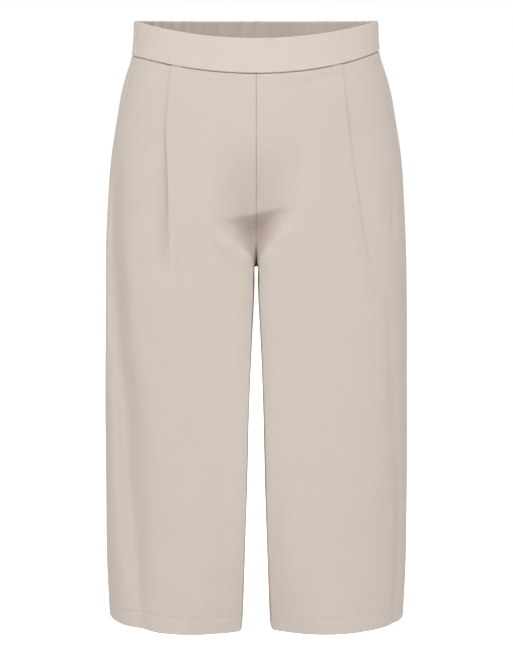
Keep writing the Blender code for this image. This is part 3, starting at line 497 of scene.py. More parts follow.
def fold(side, path, around, height):
    """How far one fold moves the surface: a soft trough along its path with a slight lip on either side."""
    line, depth, width = (smooth_rows(path, column, height) for column in (1, 2, 3))
    metres = float(pace(side, *path[len(path) // 2, 1::-1]))
    lean = smooth_rows(path, 1, height + NUDGE) - smooth_rows(path, 1, height - NUDGE)
    lean = lean * metres / (2 * NUDGE)
    offset = (around - line) * metres / np.sqrt(1 + lean**2)
    beyond = np.maximum(height - path[0][0], 0.0) + np.maximum(path[-1][0] - height, 0.0)
    squared = (offset**2 + beyond**2) / width**2
    return -depth * (1 - LIP * squared) * np.exp(-squared)


def folds(side, around, height):
    return sum(fold(side, path, around, height) for path in FOLDS[side])


def waves(side, around, height):
    """The slow unevenness of hung cloth, a few tenths of a millimetre, continuous right round a leg."""
    random = np.random.default_rng(WAVE_SEED + side)
    sway = np.zeros(np.broadcast(around, height).shape)
    for turns in WAVE_TURNS:
        down, phase, size = random.uniform(5, 40), random.uniform(0, 2 * np.pi), random.uniform(0.4, 1.0)
        sway += size * np.sin(np.pi * turns * around + down * height + phase)
    return sway * WAVE_SIZE


def back_degrees(side, around):
    """Angle from the centre back, positive to the wearer's left."""
    return side * (2.0 - around) * 90.0


def fine_gathers(seed):
    """Angle, depth, half width in degrees, lean, and middle of each finer crease."""
    random = np.random.default_rng(seed)
    columns = np.stack([random.uniform(*limits, FINE_GATHERS) for limits in FINE_RANGES], axis=1)
    columns[:, 0] += np.linspace(-FINE_SPREAD, FINE_SPREAD, FINE_GATHERS)
    return columns


def cusp(offset, width):
    """1 at a crease, falling away with rounded puffs between creases."""
    return np.exp(-(np.abs(offset / width) ** CUSP_POWER))


def panel_gathers(side, around, height):
    """How far the gathers' creases sink the back below its band, each fading at its own length."""
    below = np.maximum(waist_seam(side, around) - height, 0.0)
    angle = back_degrees(side, around)
    rise = np.zeros(np.broadcast(angle, height).shape)
    for degrees, depth, length in GATHERS:
        near = cusp(angle - degrees, PANEL_CREASE_WIDTH)
        rise -= depth * PANEL_CREASE_SCALE * near * (1 - ease(below / (PANEL_GATHER_REACH * length)))
    (deeper, wider), (shortest, longer) = PANEL_FINE, PANEL_FINE_LENGTH
    for degrees, depth, width, lean, middle in fine_gathers(PANEL_SEED):
        near = cusp(angle - degrees - lean * below / longer, width * wider)
        rise -= depth * deeper * near * (1 - ease(below / (shortest + longer * middle)))
    end, fade = GATHERS_END
    return rise * ease((angle + end) / fade) * ease((end - angle) / fade)


def allowance_ridge(side, around, height):
    """The soft ridge over the seam allowance below the waist seam, with a slight dip past its edge."""
    places, sizes, lengths = ALLOWANCE_RIDGE[side].T
    below = np.maximum(waist_seam(side, around) - height, 0.0) / np.interp(around, places, lengths)
    ridge = ease(below / RIDGE_RISE) * (1 - ease((below - RIDGE_RISE) / RIDGE_FALL))
    dip, place, width = RIDGE_DIP
    return np.interp(around, places, sizes) * (ridge - dip * np.exp(-((below - place) / width) ** 2))


def turned(distance, reach, depth):
    """How deep an edge turns under, at a distance from it."""
    t = np.clip(1 - distance / reach, 0.0, 1.0)
    return depth * (1 - np.sqrt(1 - t * t))


def edge_steps(reach):
    """Distances from an edge, close together where it turns."""
    return reach * (1 - np.cos(np.linspace(0, np.pi / 2, EDGE_STEPS + 1)))


# ======== grids and shells


def panel_middles():
    """Nominal height of each row of a panel, from the waist seam to the start of the hem's turn."""
    top = ROW_TILT[0][0]
    rows = list(top - edge_steps(WAIST_TURN["front"][0]))
    zones = ROW_ZONES + ((HEM + HEM_TURN, 0.0),)
    for (start, spacing), (end, _) in zip(zones[:-1], zones[1:]):
        count = max(1, int(round((start - end) / spacing)))
        rows += list(np.linspace(start, end, count + 1)[:-1])
    return np.array(rows + [HEM + HEM_TURN])


def unit(vectors):
    return vectors / np.maximum(np.linalg.norm(vectors, axis=-1), 1e-12)[..., None]


def normals_of(points):
    """Unit normals of a grid of points, outwards where columns run on and rows run down."""
    return unit(np.cross(np.gradient(points, axis=1), -np.gradient(points, axis=0)))


def turn_hem(outer, normal):
    """The rows of the outer face with the rows that turn the hem's edge under, and their normals."""
    level = unit(normal[-1] * np.array([1.0, 1.0, 0.0]))
    middle = outer[-1] - level * HEM_TURN
    for angle in np.linspace(0, np.pi, HEM_TURN_STEPS + 1)[1:]:
        facing = level * np.cos(angle) - np.array([0.0, 0.0, 1.0]) * np.sin(angle)
        outer = np.concatenate([outer, (middle + facing * HEM_TURN)[None]])
        normal = np.concatenate([normal, facing[None]])
    return outer, normal


def lengths_along(points, axis):
    """Running length along one axis of a grid of points."""
    step = np.linalg.norm(np.diff(points, axis=axis), axis=-1)
    pad = np.zeros_like(np.take(step, [0], axis=axis))
    return np.cumsum(np.concatenate([pad, step], axis=axis), axis=axis)


def grid_faces(rows, columns, first, turned_round):
    """Quads between the points of a grid whose numbers start at first."""
    number = first + np.arange(rows * columns).reshape(rows, columns)
    a, b, c, d = number[:-1, :-1], number[1:, :-1], number[1:, 1:], number[:-1, 1:]
    quads = np.stack([a, b, c, d], axis=-1).reshape(-1, 4)
    return quads[:, ::-1] if turned_round else quads


def rim_faces(rows, columns, ring):
    """Quads that join the outer and inner faces round the edges; a ring has no ends."""
    outer = np.arange(rows * columns).reshape(rows, columns)
    inner = outer + rows * columns
    edges = [(outer[0], inner[0], True), (outer[-1], inner[-1], False)]
    if not ring:
        edges += [(outer[:, 0], inner[:, 0], False), (outer[:, -1], inner[:, -1], True)]
    quads = []
    for face, back, turned_round in edges:
        strip = np.stack([face[:-1], back[:-1], back[1:], face[1:]], axis=-1)
        quads.append(strip[:, ::-1] if turned_round else strip)
    return np.concatenate(quads)


def shell(name, outer, inner, ring=False):
    """A closed cloth wall between two grids of points, with each point's place in the cut as its UV."""
    flat = flat_cut(outer)
    if ring:
        outer, inner, flat = (np.concatenate([grid, grid[:, :1]], axis=1) for grid in (outer, inner, flat))
        flat[:, -1, 0] = 2 * flat[:, -2, 0] - flat[:, -3, 0]
    rows, columns = outer.shape[:2]
    size = rows * columns
    faces = (grid_faces(rows, columns, 0, False), grid_faces(rows, columns, size, True),
             rim_faces(rows, columns, ring))
    points = np.concatenate([outer.reshape(-1, 3), inner.reshape(-1, 3)])
    return new_piece(name, points, np.concatenate(faces).tolist(), np.tile(flat.reshape(-1, 2), (2, 1)))


def add_object(name, data):
    item = bpy.data.objects.new(name, data)
    bpy.context.scene.collection.objects.link(item)
    return item


def new_piece(name, points, faces, places=None):
    """A smooth piece with its doubled points merged and its faces outwards; places are its points' UVs."""
    mesh = bpy.data.meshes.new(name)
    mesh.from_pydata(points.tolist(), [], faces)
    if places is not None:
        layer = mesh.uv_layers.new(name="cut")
        corner = np.empty(len(mesh.loops), np.int32)
        mesh.loops.foreach_get("vertex_index", corner)
        layer.data.foreach_set("uv", places[corner].astype(np.float32).ravel())
    item = add_object(name, mesh)
    bpy.ops.object.select_all(action="DESELECT")
    bpy.context.view_layer.objects.active = item
    item.select_set(True)
    bpy.ops.object.mode_set(mode="EDIT")
    bpy.ops.mesh.select_all(action="SELECT")
    bpy.ops.mesh.remove_doubles(threshold=MERGE)
    bpy.ops.mesh.normals_make_consistent(inside=False)
    bpy.ops.object.mode_set(mode="OBJECT")
    bpy.ops.object.shade_smooth_by_angle(angle=np.radians(SMOOTH_DEGREES))
    return item


def flat_cut(outer):
    """Each point's place in the flat cut: metres across the row and down from the top."""
    across = lengths_along(outer, 1)
    across -= across[:, across.shape[1] // 2][:, None]
    down = lengths_along(outer, 0)
    down = np.broadcast_to(down[:, down.shape[1] // 2][:, None], across.shape)
    return np.stack([across, -down], axis=-1)


def mirrored(side, points):
    return points * np.array([side, 1.0, 1.0])


# ======== the panels


def pleat(side, name, height):
    return smooth_rows(PLEATS[side], PLEAT_COLUMNS.index(name), height)


def pleat_turns(side, height):
    """Metres along and outwards of each column of the pleat's fold, for each row."""
    tuck, turn, length = (pleat(side, name, height)[:, None] for name in ("tuck", "turn", "turn_length"))
    tuck, turn = np.maximum(tuck, LEAST_TUCK), np.radians(np.clip(turn, 0, 180))
    length = np.maximum(length, PRESSED)
    t = np.linspace(0, 1, TURN_STEPS + 1)
    heading = -turn * np.concatenate([t, np.ones(TUCK_STEPS - 1), t[::-1]])
    bend, flat = np.tile(length / TURN_STEPS, TURN_STEPS), np.tile(tuck / TUCK_STEPS, TUCK_STEPS)
    step = np.concatenate([bend, flat, bend], axis=1)
    middle = (heading[:, 1:] + heading[:, :-1]) / 2
    start = np.zeros((len(height), 1))
    return [np.concatenate([start, np.cumsum(step * way, axis=1)], axis=1)
            for way in (np.cos(middle), np.sin(middle))]


def panel_ends(side, kind, middle):
    """Around of a panel's centre seam and side seam on each row, each with metres for one unit of around."""
    centre, centre_at, side_at = SEAMS_AT[kind]
    inward = 1 if kind == "front" else -1
    height = heights_at(side, middle, side_at)
    centre_pace = pace(side, centre_at, heights_at(side, middle, centre_at))[:, None]
    side_pace = pace(side, side_at, height)[:, None]
    start = centre + inward * GAP / 2 / centre_pace
    return start, centre_pace, side_seam(side, height)[:, None] - inward * GAP / 2 / side_pace, side_pace


def front_columns(side, middle):
    """Around and rise of a front panel's grid, through its pleat, and metres to its two seams."""
    start, start_pace, seam, seam_pace = panel_ends(side, "front", middle)
    height = heights_at(side, middle, PLEAT_AT)
    share = np.linspace(0.0, 1.0, FOLD_SAMPLES)
    line = section(side, share[None, :], height[:, None])[0]
    fold_x = pleat(side, "fold_x", height)
    fold_at = np.array([np.interp(x, row, share) for x, row in zip(fold_x, line)])[:, None]
    fold_pace = pace(side, fold_at[:, 0], height)[:, None]
    first = start + edge_steps(CENTRE_TURN[0]) / start_pace
    over = between(first[:, -1:], fold_at, np.linspace(0, 1, FRONT_MIDDLE_COLUMNS + 1)[1:] ** MIDDLE_SPREAD)
    along, out = pleat_turns(side, height)
    turns = fold_at + along / fold_pace
    last = seam - edge_steps(SEAM_TURN[0])[::-1] / seam_pace
    steps = np.linspace(0, 1, FRONT_SIDE_COLUMNS + 1)[1:] ** SIDE_SPREAD
    under = between(turns[:, -1:], last[:, :1], steps)
    away = (under - turns[:, -1:]) * fold_pace
    beside = away / DIP_LENGTH
    under_rise = out[:, -1:] * (1 - ease(away / TUCK_BLEND))
    under_rise = under_rise - pleat(side, "dip", height)[:, None] * beside * np.exp(1 - beside)
    around = np.concatenate([first, over, turns[:, 1:], under, last[:, 1:]], axis=1)
    rise = np.concatenate([0 * first, 0 * over, out[:, 1:], under_rise, 0 * last[:, 1:]], axis=1)
    return around, rise, (around - start) * start_pace, (seam - around) * seam_pace


def back_columns(side, middle):
    """Around of a back panel's grid, and metres to its two seams."""
    centre, centre_pace, seam, seam_pace = panel_ends(side, "back", middle)
    first = seam + edge_steps(SEAM_TURN[0]) / seam_pace
    last = centre - edge_steps(CENTRE_TURN[0])[::-1] / centre_pace
    inside = between(first[:, -1:], last[:, :1], np.linspace(0, 1, BACK_COLUMNS + 1)[1:-1])
    around = np.concatenate([first, inside, last], axis=1)
    return around, 0 * around, (centre - around) * centre_pace, (around - seam) * seam_pace


def panel(side, kind):
    """One leg's front or back, from the waist seam to the hem's turned edge."""
    middle = panel_middles()
    columns = {"front": front_columns, "back": back_columns}[kind]
    around, rise, to_centre, to_side = columns(side, middle)
    height = row_heights(side, middle[:, None], around)
    rise = rise + PANEL_FACE + folds(side, around, height) + allowance_ridge(side, around, height)
    rise = rise + waves(side, around, height) - hem_groove(side, around, height)
    if kind == "back":
        rise = rise + panel_gathers(side, around, height)
    rise = rise - turned(to_centre, *CENTRE_TURN) - turned(to_side, *SEAM_TURN)
    rise = rise - turned(waist_seam(side, around) - GAP / 2 - height, *WAIST_TURN[kind])
    outer = raised(side, around, height, rise)
    outer[..., 0] = np.maximum(outer[..., 0], GAP / 2)
    outer, normal = (mirrored(side, grid) for grid in turn_hem(outer, normals_of(outer)))
    return shell(f"cloth_{kind}_{SIDES[side]}", outer, outer - normal * CREPE)


def centre_line(behind):
    """Heights of points 3 mm apart down one centre seam to the crotch, and each one's way to go to it."""
    height = np.linspace((BACK_SEAM if behind else FRONT_SEAM) - STRIP_START, CROTCH + 1e-4, LINE_SAMPLES)
    y = section(1, 2.0 if behind else 0.0, height)[1]
    length = lengths_along(np.stack([y, height], axis=-1), 0)
    at = np.linspace(0.0, length[-1], int(length[-1] / STRIP_SPACING) + 1)
    return np.interp(at, length, height), length[-1] - at


def centre_allowance():
    """The centre seam's allowances, pressed open inside: down the front, under the crotch and up the back."""
    (front, front_left), (back, back_left) = centre_line(False), centre_line(True)
    height = np.concatenate([front, back[::-1]])
    turn = np.pi / 2 * (1 - np.clip(np.concatenate([front_left, -back_left[::-1]]) / ALLOWANCE, -1, 1))
    share = np.linspace(0.0, STRIP_SHARE, STRIP_SAMPLES)
    faces = {}
    for side in SIDES:
        around, drop = np.zeros((2, len(height), len(STRIP_STEPS)))
        for k, (z, angle) in enumerate(zip(height, turn)):
            ways = 2.0 - share if angle > np.pi / 2 else share
            length = lengths_along(np.stack(section(side, ways, z), axis=-1), 0)
            around[k] = np.interp(STRIP_STEPS * abs(np.cos(angle)), length, ways)
            drop[k] = STRIP_STEPS * np.sin(angle)
        level = height[:, None] - drop
        rise = PANEL_FACE + folds(side, around, level) + waves(side, around, level)
        rise = rise + np.where(around > 1, panel_gathers(side, around, level), 0.0)
        points = raised(side, around, level, rise)
        faces[side] = mirrored(side, points), mirrored(side, normals_of(points))
    middle = (faces[-1][0][:, :1] + faces[1][0][:, :1]) / 2
    along = np.gradient(middle[:, 0], axis=0)
    facing = unit(np.stack([0 * along[:, 0], along[:, 2], -along[:, 1]], axis=-1))[:, None]
    points, normal = (np.concatenate([faces[-1][k][:, :0:-1], centre, faces[1][k][:, 1:]], axis=1)
                      for k, centre in enumerate((middle, facing)))
    away = np.concatenate([STRIP_STEPS[:0:-1], STRIP_STEPS])
    depth = (CREPE + STRIP_GAP + turned(away, *CENTRE_TURN))[None, :, None]
    return shell("cloth_seam_allowance", points - normal * depth, points - normal * (depth + STRIP_THICKNESS))


def waist_allowance():
    """The waist seam's allowance: a ring inside it, which reaches under the band and under the panels."""
    around = np.linspace(0.0, 2.0, WAIST_STRIP_COLUMNS + 1)[None, :]
    around, away = np.broadcast_arrays(around, WAIST_STRIP_STEPS[:, None])
    faces = []
    for depth in (WAIST_STRIP_DEPTH, WAIST_STRIP_DEPTH + STRIP_THICKNESS):
        right, left = (mirrored(side, raised(side, around, waist_seam(side, around) - away, -depth))
                       for side in SIDES)
        faces.append(np.concatenate([right, left[:, -2:0:-1]], axis=1))
    return shell("cloth_waist_allowance", *faces, ring=True)


# ======== the bands


def round_top(distance, half):
    """Half thickness of a band near its folded top edge."""
    t = np.clip(1 - distance / half, 0.0, 1.0)
    return half * np.sqrt(1 - t * t)


def band_levels(count, half):
    """Distances up a band, as shares of its height: close together where its edges turn."""
    low = edge_steps(BAND_TURN[0]) / BAND_HEIGHT
    high = 1 - edge_steps(half)[::-1] / BAND_HEIGHT
    return np.concatenate([low, np.linspace(low[-1], high[0], count + 1)[1:-1], high])


def band_seam(side, kind):
    """Around of a band's side seam, and metres for one unit of around there."""
    return float(side_seam(side, 0.0)), float(pace(side, SEAMS_AT[kind][2], 0.0))


def band(kind, around_of, rises_of, levels):
    """A band across both halves, from the wearer's right to the left."""
    grids = [], []
    for side in SIDES:
        around = around_of(side)
        low, high = waist_seam(side, around) + GAP / 2, band_top(around)
        height = between(low, high, levels[::-1, None])
        for halves, rise in zip(grids, rises_of(side, around, height, height - low, high - height)):
            halves.append(mirrored(side, raised(side, around, height, rise)))
    return shell(f"cloth_waistband_{kind}", *(joined(halves, kind == "front") for halves in grids))


def joined(halves, centre_first):
    """One grid from the two halves, each of which starts at the centre or ends there."""
    right, left = halves
    if centre_first:
        right = right[:, ::-1]
    else:
        left = left[:, ::-1]
    return np.concatenate([right[:, :-1], left], axis=1)


def front_band():
    def around_of(side):
        seam, metres = band_seam(side, "front")
        last = seam - GAP / 2 / metres - edge_steps(SEAM_TURN[0])[::-1] / metres
        return np.concatenate([np.linspace(0.0, last[0], BAND_COLUMNS)[:-1], last])

    def rises_of(side, around, height, up, down):
        seam, metres = band_seam(side, "front")
        half = round_top(down, BAND_HALF)
        shift, stretch, start, scale = BAND_WAVES
        soft = waves(side, around + shift * (1 - around), height * stretch) * ease(around / start) * scale
        edge = turned((seam - around) * metres, *BAND_SEAM_TURN)
        out = half + soft - turned(up, *BAND_TURN) - edge
        return out, -half + soft + turned(up, BAND_TURN[0], INNER_TURN["front"]) + INNER_EDGE * edge

    return band("front", around_of, rises_of, band_levels(BAND_ROWS, BAND_HALF))


def band_puckers(side, around, share):
    """How deep the gathers crease the back band, how far its middle sways, and the groove at its centre."""
    angle = back_degrees(side, around)
    crease, sway = np.zeros((2, *np.broadcast(angle, share).shape))
    turn, phase = LEAN_TURN
    least, more, shift = GATHER_WINDOW
    for number, (degrees, depth, _) in enumerate(GATHERS):
        lean = GATHER_LEAN * np.sin(turn * number + phase)
        offset = angle - degrees - lean * (share - 0.5)
        window = least + more * np.sin(np.pi * np.clip(share, 0, 1) + shift * np.sin(number))
        crease += BAND_GATHER_SCALE * depth * window * cusp(offset, CREASE_WIDTH)
        sway += (SWAY if number % 2 else -SWAY) * np.exp(-((offset / SWAY_WIDTH) ** 2))
    least, more, reach = FINE_WINDOW
    for degrees, depth, width, lean, middle in fine_gathers(BAND_SEED):
        window = least + more * np.exp(-(((share - middle) / reach) ** 2))
        crease += depth * window * cusp(angle - degrees - lean * (share - 0.5), width)
    return crease, sway, CENTRE_CREASE * np.exp(-((angle / CENTRE_CREASE_WIDTH) ** 2))


def back_band():
    def around_of(side):
        seam, metres = band_seam(side, "back")
        first = seam + GAP / 2 / metres + edge_steps(SEAM_TURN[0]) / metres
        return np.concatenate([first[:-1], np.linspace(first[-1], 2.0, ELASTIC_COLUMNS)])

    def rises_of(side, around, height, up, down):
        seam, metres = band_seam(side, "back")
        to_seam = (around - seam) * metres
        crease, sway, centre = band_puckers(side, around, up / (up + down))
        from_seam = ease(to_seam / PUCKER_START)
        crease = crease * from_seam
        edge = turned(to_seam, *BAND_SEAM_TURN)
        half = round_top(down, ELASTIC_HALF)
        shrink = np.clip(half / ELASTIC_HALF, CREASES_AT_TOP, 1)
        sway = sway * from_seam + crease
        outside, inside = ((scale * crease + centre) * shrink for scale in BAND_CREASE_SCALES)
        out = half - outside + sway - turned(up, *BAND_TURN) - edge
        back = -half + inside + sway
        back = back + turned(up, BAND_TURN[0], INNER_TURN["back"]) + INNER_EDGE * edge
        return out, np.minimum(back, out - THINNEST)

    return band("back", around_of, rises_of, band_levels(ELASTIC_ROWS, ELASTIC_HALF))


# ======== the hems and their stitching


def stitch_height(side, around):
    return HEM + np.interp(around, *STITCH_HEIGHT[side].T)


def hem_groove(side, around, height):
    """How far the hem's stitching pulls the cloth in."""
    offset = (height - stitch_height(side, around)) / STITCH_PULL
    return STITCH_SINK * np.exp(-(offset**2))


def leg_face(side, around, height, rise=0.0):
    """Points of a leg's outer face near its hem, without its seams."""
    rise = rise + PANEL_FACE + folds(side, around, height) + waves(side, around, height)
    return raised(side, around, height, rise - hem_groove(side, around, height))


def hem(side):
    """The turned-up hem: a ring just inside the panels, from their turned edge up to the stitching."""
    around = np.linspace(0.0, 2.0, HEM_COLUMNS + 1)[:-1][None, :]
    height = np.linspace(HEM + HEM_HEIGHT, HEM + HEM_TURN + GAP, HEM_ROWS)[:, None]
    around, height = np.broadcast_arrays(around, height)
    faces = (mirrored(side, leg_face(side, around, height, -GAP - layers * CREPE)) for layers in (1, 2))
    return shell(f"cloth_hem_{SIDES[side]}", *faces, ring=True)


def stitches(name, path, normal):
    """A run of short threads along a path: each lies on the cloth and dips into it at both ends."""
    length = lengths_along(path, 0)
    rings, sides = len(STITCH_SHAPE), STITCH_SIDES
    share = np.linspace(0, 1, rings)
    starts = np.arange(0.5 * STITCH_PITCH, length[-1] - STITCH_PITCH, STITCH_PITCH)
    at = starts[:, None] + share * STITCH_LENGTH
    centre, facing = (np.stack([np.interp(at, length, values[:, k]) for k in range(3)], axis=-1)
                      for values in (path, normal))
    facing = unit(facing)
    across = np.cross(unit(np.gradient(centre, axis=1)), facing)
    centre = centre + facing * (THREAD * (STITCH_ARCH * np.sin(np.pi * share) - STITCH_DIP))[:, None]
    turns = (np.arange(sides) * 2 * np.pi / sides)[:, None]
    spokes = np.cos(turns) * across[:, :, None] + np.sin(turns) * facing[:, :, None]
    points = centre[:, :, None] + THREAD / 2 * np.array(STITCH_SHAPE)[:, None, None] * spokes
    faces = [(a, b, b + sides, a + sides) for ring in range(rings - 1)
             for a, b in ((ring * sides + k, ring * sides + (k + 1) % sides) for k in range(sides))]
    faces += [range(sides - 1, -1, -1), range((rings - 1) * sides, rings * sides)]
    faces = [tuple(first + corner for corner in face)
             for first in np.arange(len(starts)) * rings * sides for face in faces]
    return new_piece(name, points.reshape(-1, 3), faces)


def hem_stitching(side):
    around = np.linspace(*STITCH_RUN)
    height = stitch_height(side, around)
    path = leg_face(side, around, height)
    above = leg_face(side, around, height + LIFT) - leg_face(side, around, height - LIFT)
    normal = unit(np.cross(np.gradient(path, axis=0), above))
    return stitches(f"stitching_hem_{SIDES[side]}", mirrored(side, path), mirrored(side, normal))


# ======== finishes

CREPE_COLOUR = (0.662, 0.584, 0.521)
BAND_COLOUR = (0.700, 0.618, 0.551)
# a darker copy of the crepe for the hem that lies inside the legs: painted shade
HEM_PAINTED_SHADE_COLOUR = (0.645, 0.566, 0.503)
THREAD_COLOUR = (0.600, 0.530, 0.470)
CLOTH_SHINE = {"Specular IOR Level": 0.22, "Sheen Weight": 0.06, "Sheen Roughness": 0.5}
THREAD_PITCH = {"X": 0.00055, "Y": 0.00050}  # metres from thread to thread, across and down the cut
THREAD_WAVE = {"Distortion": 1.3, "Detail": 2.0, "Detail_Scale": 0.35}
WAVE_PERIOD = 2 * np.pi / 20  # metres from band to band in Blender's wave texture at scale 1
NOISES = ((1150.0, 2.0), (22.0, 3.0), (420.0, 2.0))  # scale and detail of pebbles, mottle and flecks
WEAVE_RELIEF, PEBBLE_RELIEF, CREPE_BUMP = 0.55, 0.7, (0.35, 0.00022)  # shares; strength and metres
SHADE, MOTTLE_SHADE, FLECK_SHADE, WEAVE_SHADE = 0.93, 0.055, 0.035, 0.05  # shares of the colour
CREPE_ROUGHNESS, LEAST_ROUGHNESS, PEBBLE_ROUGHNESS = 0.88, 0.82, 0.10  # plain; and as the pebbles vary it
THREAD_ROUGHNESS = 0.6
PLY_PITCH, PLY_BUMP = 0.00045, (0.5, 0.00006)  # of the twist of the sewing thread's plies


def new_material(name, colour, roughness):
    material = bpy.data.materials.new(name)
    material.use_nodes = True
    shader = material.node_tree.nodes["Principled BSDF"]
    values = {"Base Color": (*colour, 1.0), "Roughness": roughness, **CLOTH_SHINE}
    for socket, value in values.items():
        shader.inputs[socket].default_value = value
    return material, material.node_tree, shader


def node(tree, kind, **values):
    """A node with its inputs set by name."""
    made = tree.nodes.new(kind)
    for name, value in values.items():
        made.inputs[name.replace("_", " ")].default_value = value
    return made


def thread_bands(tree, place, direction, pitch):
    """A wave along one direction of the cut, one band for each thread."""
    wave = node(tree, "ShaderNodeTexWave", Scale=WAVE_PERIOD / pitch, **THREAD_WAVE)
    wave.bands_direction = direction
    tree.links.new(place, wave.inputs["Vector"])
    return wave.outputs["Fac"]


def weighted(tree, *parts, base=0.0):
    """The base plus each socket times its share."""
    for socket, share in parts:
        made = tree.nodes.new("ShaderNodeMath")
        made.operation = "MULTIPLY_ADD"
        tree.links.new(socket, made.inputs[0])
        made.inputs[1].default_value = share
        if isinstance(base, float):
            made.inputs[2].default_value = base
        else:
            tree.links.new(base, made.inputs[2])
        base = made.outputs["Value"]
    return base


def bump(tree, shader, height, strength, distance):
    made = node(tree, "ShaderNodeBump", Strength=strength, Distance=distance)
    tree.links.new(height, made.inputs["Height"])
    tree.links.new(made.outputs["Normal"], shader.inputs["Normal"])


def noise(tree, place, scale, detail):
    made = node(tree, "ShaderNodeTexNoise", Scale=scale, Detail=detail)
    tree.links.new(place, made.inputs["Vector"])
    return made.outputs["Fac"]


def crepe(name, colour):
    """Heavy crepe: fine crossing threads, a pebbled face and a slightly uneven colour."""
    material, tree, shader = new_material(name, colour, CREPE_ROUGHNESS)
    place = node(tree, "ShaderNodeTexCoord").outputs["UV"]
    threads = (thread_bands(tree, place, *thread) for thread in THREAD_PITCH.items())
    weave = weighted(tree, *((thread, 0.5) for thread in threads))
    pebbles, mottle, flecks = (noise(tree, place, *size) for size in NOISES)
    bump(tree, shader, weighted(tree, (weave, WEAVE_RELIEF), (pebbles, PEBBLE_RELIEF)), *CREPE_BUMP)
    tint = tree.nodes.new("ShaderNodeVectorMath")
    tint.operation = "SCALE"
    tint.inputs[0].default_value = colour
    shade = weighted(tree, (mottle, MOTTLE_SHADE), (flecks, FLECK_SHADE), (weave, WEAVE_SHADE), base=SHADE)
    tree.links.new(shade, tint.inputs["Scale"])
    tree.links.new(tint.outputs["Vector"], shader.inputs["Base Color"])
    rough = weighted(tree, (pebbles, PEBBLE_ROUGHNESS), base=LEAST_ROUGHNESS)
    tree.links.new(rough, shader.inputs["Roughness"])
    return material


def spun_thread(name, colour):
    """Sewing thread with the twist of its plies."""
    material, tree, shader = new_material(name, colour, THREAD_ROUGHNESS)
    place = node(tree, "ShaderNodeTexCoord").outputs["Object"]
    bump(tree, shader, thread_bands(tree, place, "DIAGONAL", PLY_PITCH), *PLY_BUMP)
    return material


# ======== studio

CAMERA_BACK = 3.0  # from the camera to the middle of the waist
CAMERA_TILT = 6.784  # degrees down
FOCAL_PIXELS = 2432.0
FRAME_WIDTH = 513
FRAME_HEIGHT = 655
FRAME_CENTRE_X = 256.2  # pixel column of the garment's middle
SENSOR = 36.0
FLOOR = -1.08
FLOOR_SIZE = 40.0
FLOOR_COLOUR = (0.80, 0.80, 0.80)
FLOOR_ROUGHNESS = 0.9
FLOOR_GLOW = 0.9
WORLD_LIGHT = 0.31
WHITE = (1.0, 1.0, 1.0, 1.0)
LIGHTS = (  # name, place, height it is turned to, width and height, power
    ("left_side", (-3.6, -1.4, 0.9), -0.4, (2.4, 2.4), 37.0),
    ("right_side", (3.6, -1.6, 0.4), -0.4, (2.4, 2.4), 33.0),
    ("front", (0.1, -5.6, 4.0), -0.4, (3.5, 3.5), 88.0),
    ("above", (-0.2, -2.6, 3.1), -0.2, (3.0, 2.4), 65.0),
    ("below", (0.0, -2.2, -1.0), -0.7, (2.4, 0.8), 3.0),
    ("back", (0.6, 4.6, 2.0), -0.4, (4.0, 3.0), 125.0),
)


def make_camera():
    data = bpy.data.cameras.new("camera")
    data.sensor_width = SENSOR
    data.lens = FOCAL_PIXELS / FRAME_HEIGHT * SENSOR
    item = add_object("camera", data)
    sideways = (FRAME_WIDTH / 2 - FRAME_CENTRE_X) / FOCAL_PIXELS * CAMERA_BACK
    item.location = (sideways, -CAMERA_BACK, 0.0)
    item.rotation_euler = (np.radians(90 - CAMERA_TILT), 0.0, 0.0)
    bpy.context.scene.camera = item


def soft_light(name, place, turned_to, size, power):
    """A rectangular light that looks at a height on the garment's middle line."""
    data = bpy.data.lights.new(name, "AREA")
    data.shape = "RECTANGLE"
    data.size, data.size_y = size
    data.energy = power
    item = add_object(name, data)
    item.location = place
    item.rotation_euler = (Vector((0.0, 0.0, turned_to)) - item.location).to_track_quat("-Z", "Y").to_euler()


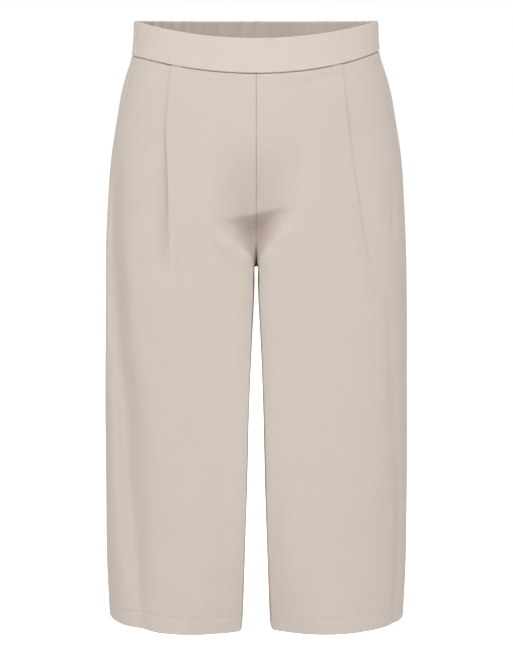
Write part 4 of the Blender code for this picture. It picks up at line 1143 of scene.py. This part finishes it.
def make_studio():
    bpy.ops.object.select_all(action="DESELECT")
    bpy.ops.mesh.primitive_plane_add(size=FLOOR_SIZE, location=(0.0, 0.0, FLOOR))
    floor = bpy.context.object
    floor.name = "floor"
    material, tree, shader = new_material("pale_floor", FLOOR_COLOUR, FLOOR_ROUGHNESS)
    shader.inputs["Emission Color"].default_value = WHITE
    seen = tree.nodes.new("ShaderNodeLightPath").outputs["Is Camera Ray"]
    tree.links.new(weighted(tree, (seen, FLOOR_GLOW)), shader.inputs["Emission Strength"])
    floor.data.materials.append(material)
    world = bpy.data.worlds.new("studio")
    bpy.context.scene.world = world
    world.use_nodes = True
    tree = world.node_tree
    around = tree.nodes["Background"]
    around.inputs["Color"].default_value = WHITE
    around.inputs["Strength"].default_value = WORLD_LIGHT
    backdrop = node(tree, "ShaderNodeBackground", Color=WHITE, Strength=1.0)
    mixed = tree.nodes.new("ShaderNodeMixShader")
    sources = (tree.nodes.new("ShaderNodeLightPath").outputs["Is Camera Ray"],
               around.outputs["Background"], backdrop.outputs["Background"])
    for source, socket in zip(sources, mixed.inputs):
        tree.links.new(source, socket)
    tree.links.new(mixed.outputs["Shader"], tree.nodes["World Output"].inputs["Surface"])
    for light in LIGHTS:
        soft_light(*light)
    bpy.context.scene.view_settings.view_transform = "Standard"


# ======== everything together


def dress(piece, material, replaced=None):
    """Gives a piece its material, sets it on the body and hides the part of the frame that it replaces."""
    piece.data.materials.clear()
    piece.data.materials.append(material)
    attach(piece, "root")
    if replaced:
        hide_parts(replaced)


def main():
    make_camera()
    make_studio()
    cloth = crepe("crepe_stone", CREPE_COLOUR)
    band_cloth = crepe("crepe_stone_band", BAND_COLOUR)
    # the back band takes the front band's lighter colour instead of the panels' crepe: painted light that
    # brightens its shaded inside
    elastic_cloth_painted_light = crepe("crepe_stone_elastic_painted_light", BAND_COLOUR)
    # the hem inside the legs gets the darker copy of the crepe: painted shade
    hem_cloth_painted_shade = crepe("crepe_stone_hem_painted_shade", HEM_PAINTED_SHADE_COLOUR)
    thread = spun_thread("sewing_thread", THREAD_COLOUR)
    front, back = front_band(), back_band()
    dress(front, band_cloth, "waistband_front")
    dress(back, elastic_cloth_painted_light, "waistband_back")
    dress(centre_allowance(), cloth, None)
    dress(waist_allowance(), cloth, None)
    for side, word in SIDES.items():
        stitching = hem_stitching(side)
        dress(stitching, thread)
        ring = hem(side)
        dress(ring, hem_cloth_painted_shade, f"hem_{word}")
        for kind, band in (("front", front), ("back", back)):
            piece = panel(side, kind)
            dress(piece, cloth, f"{kind}_{word}")


main()
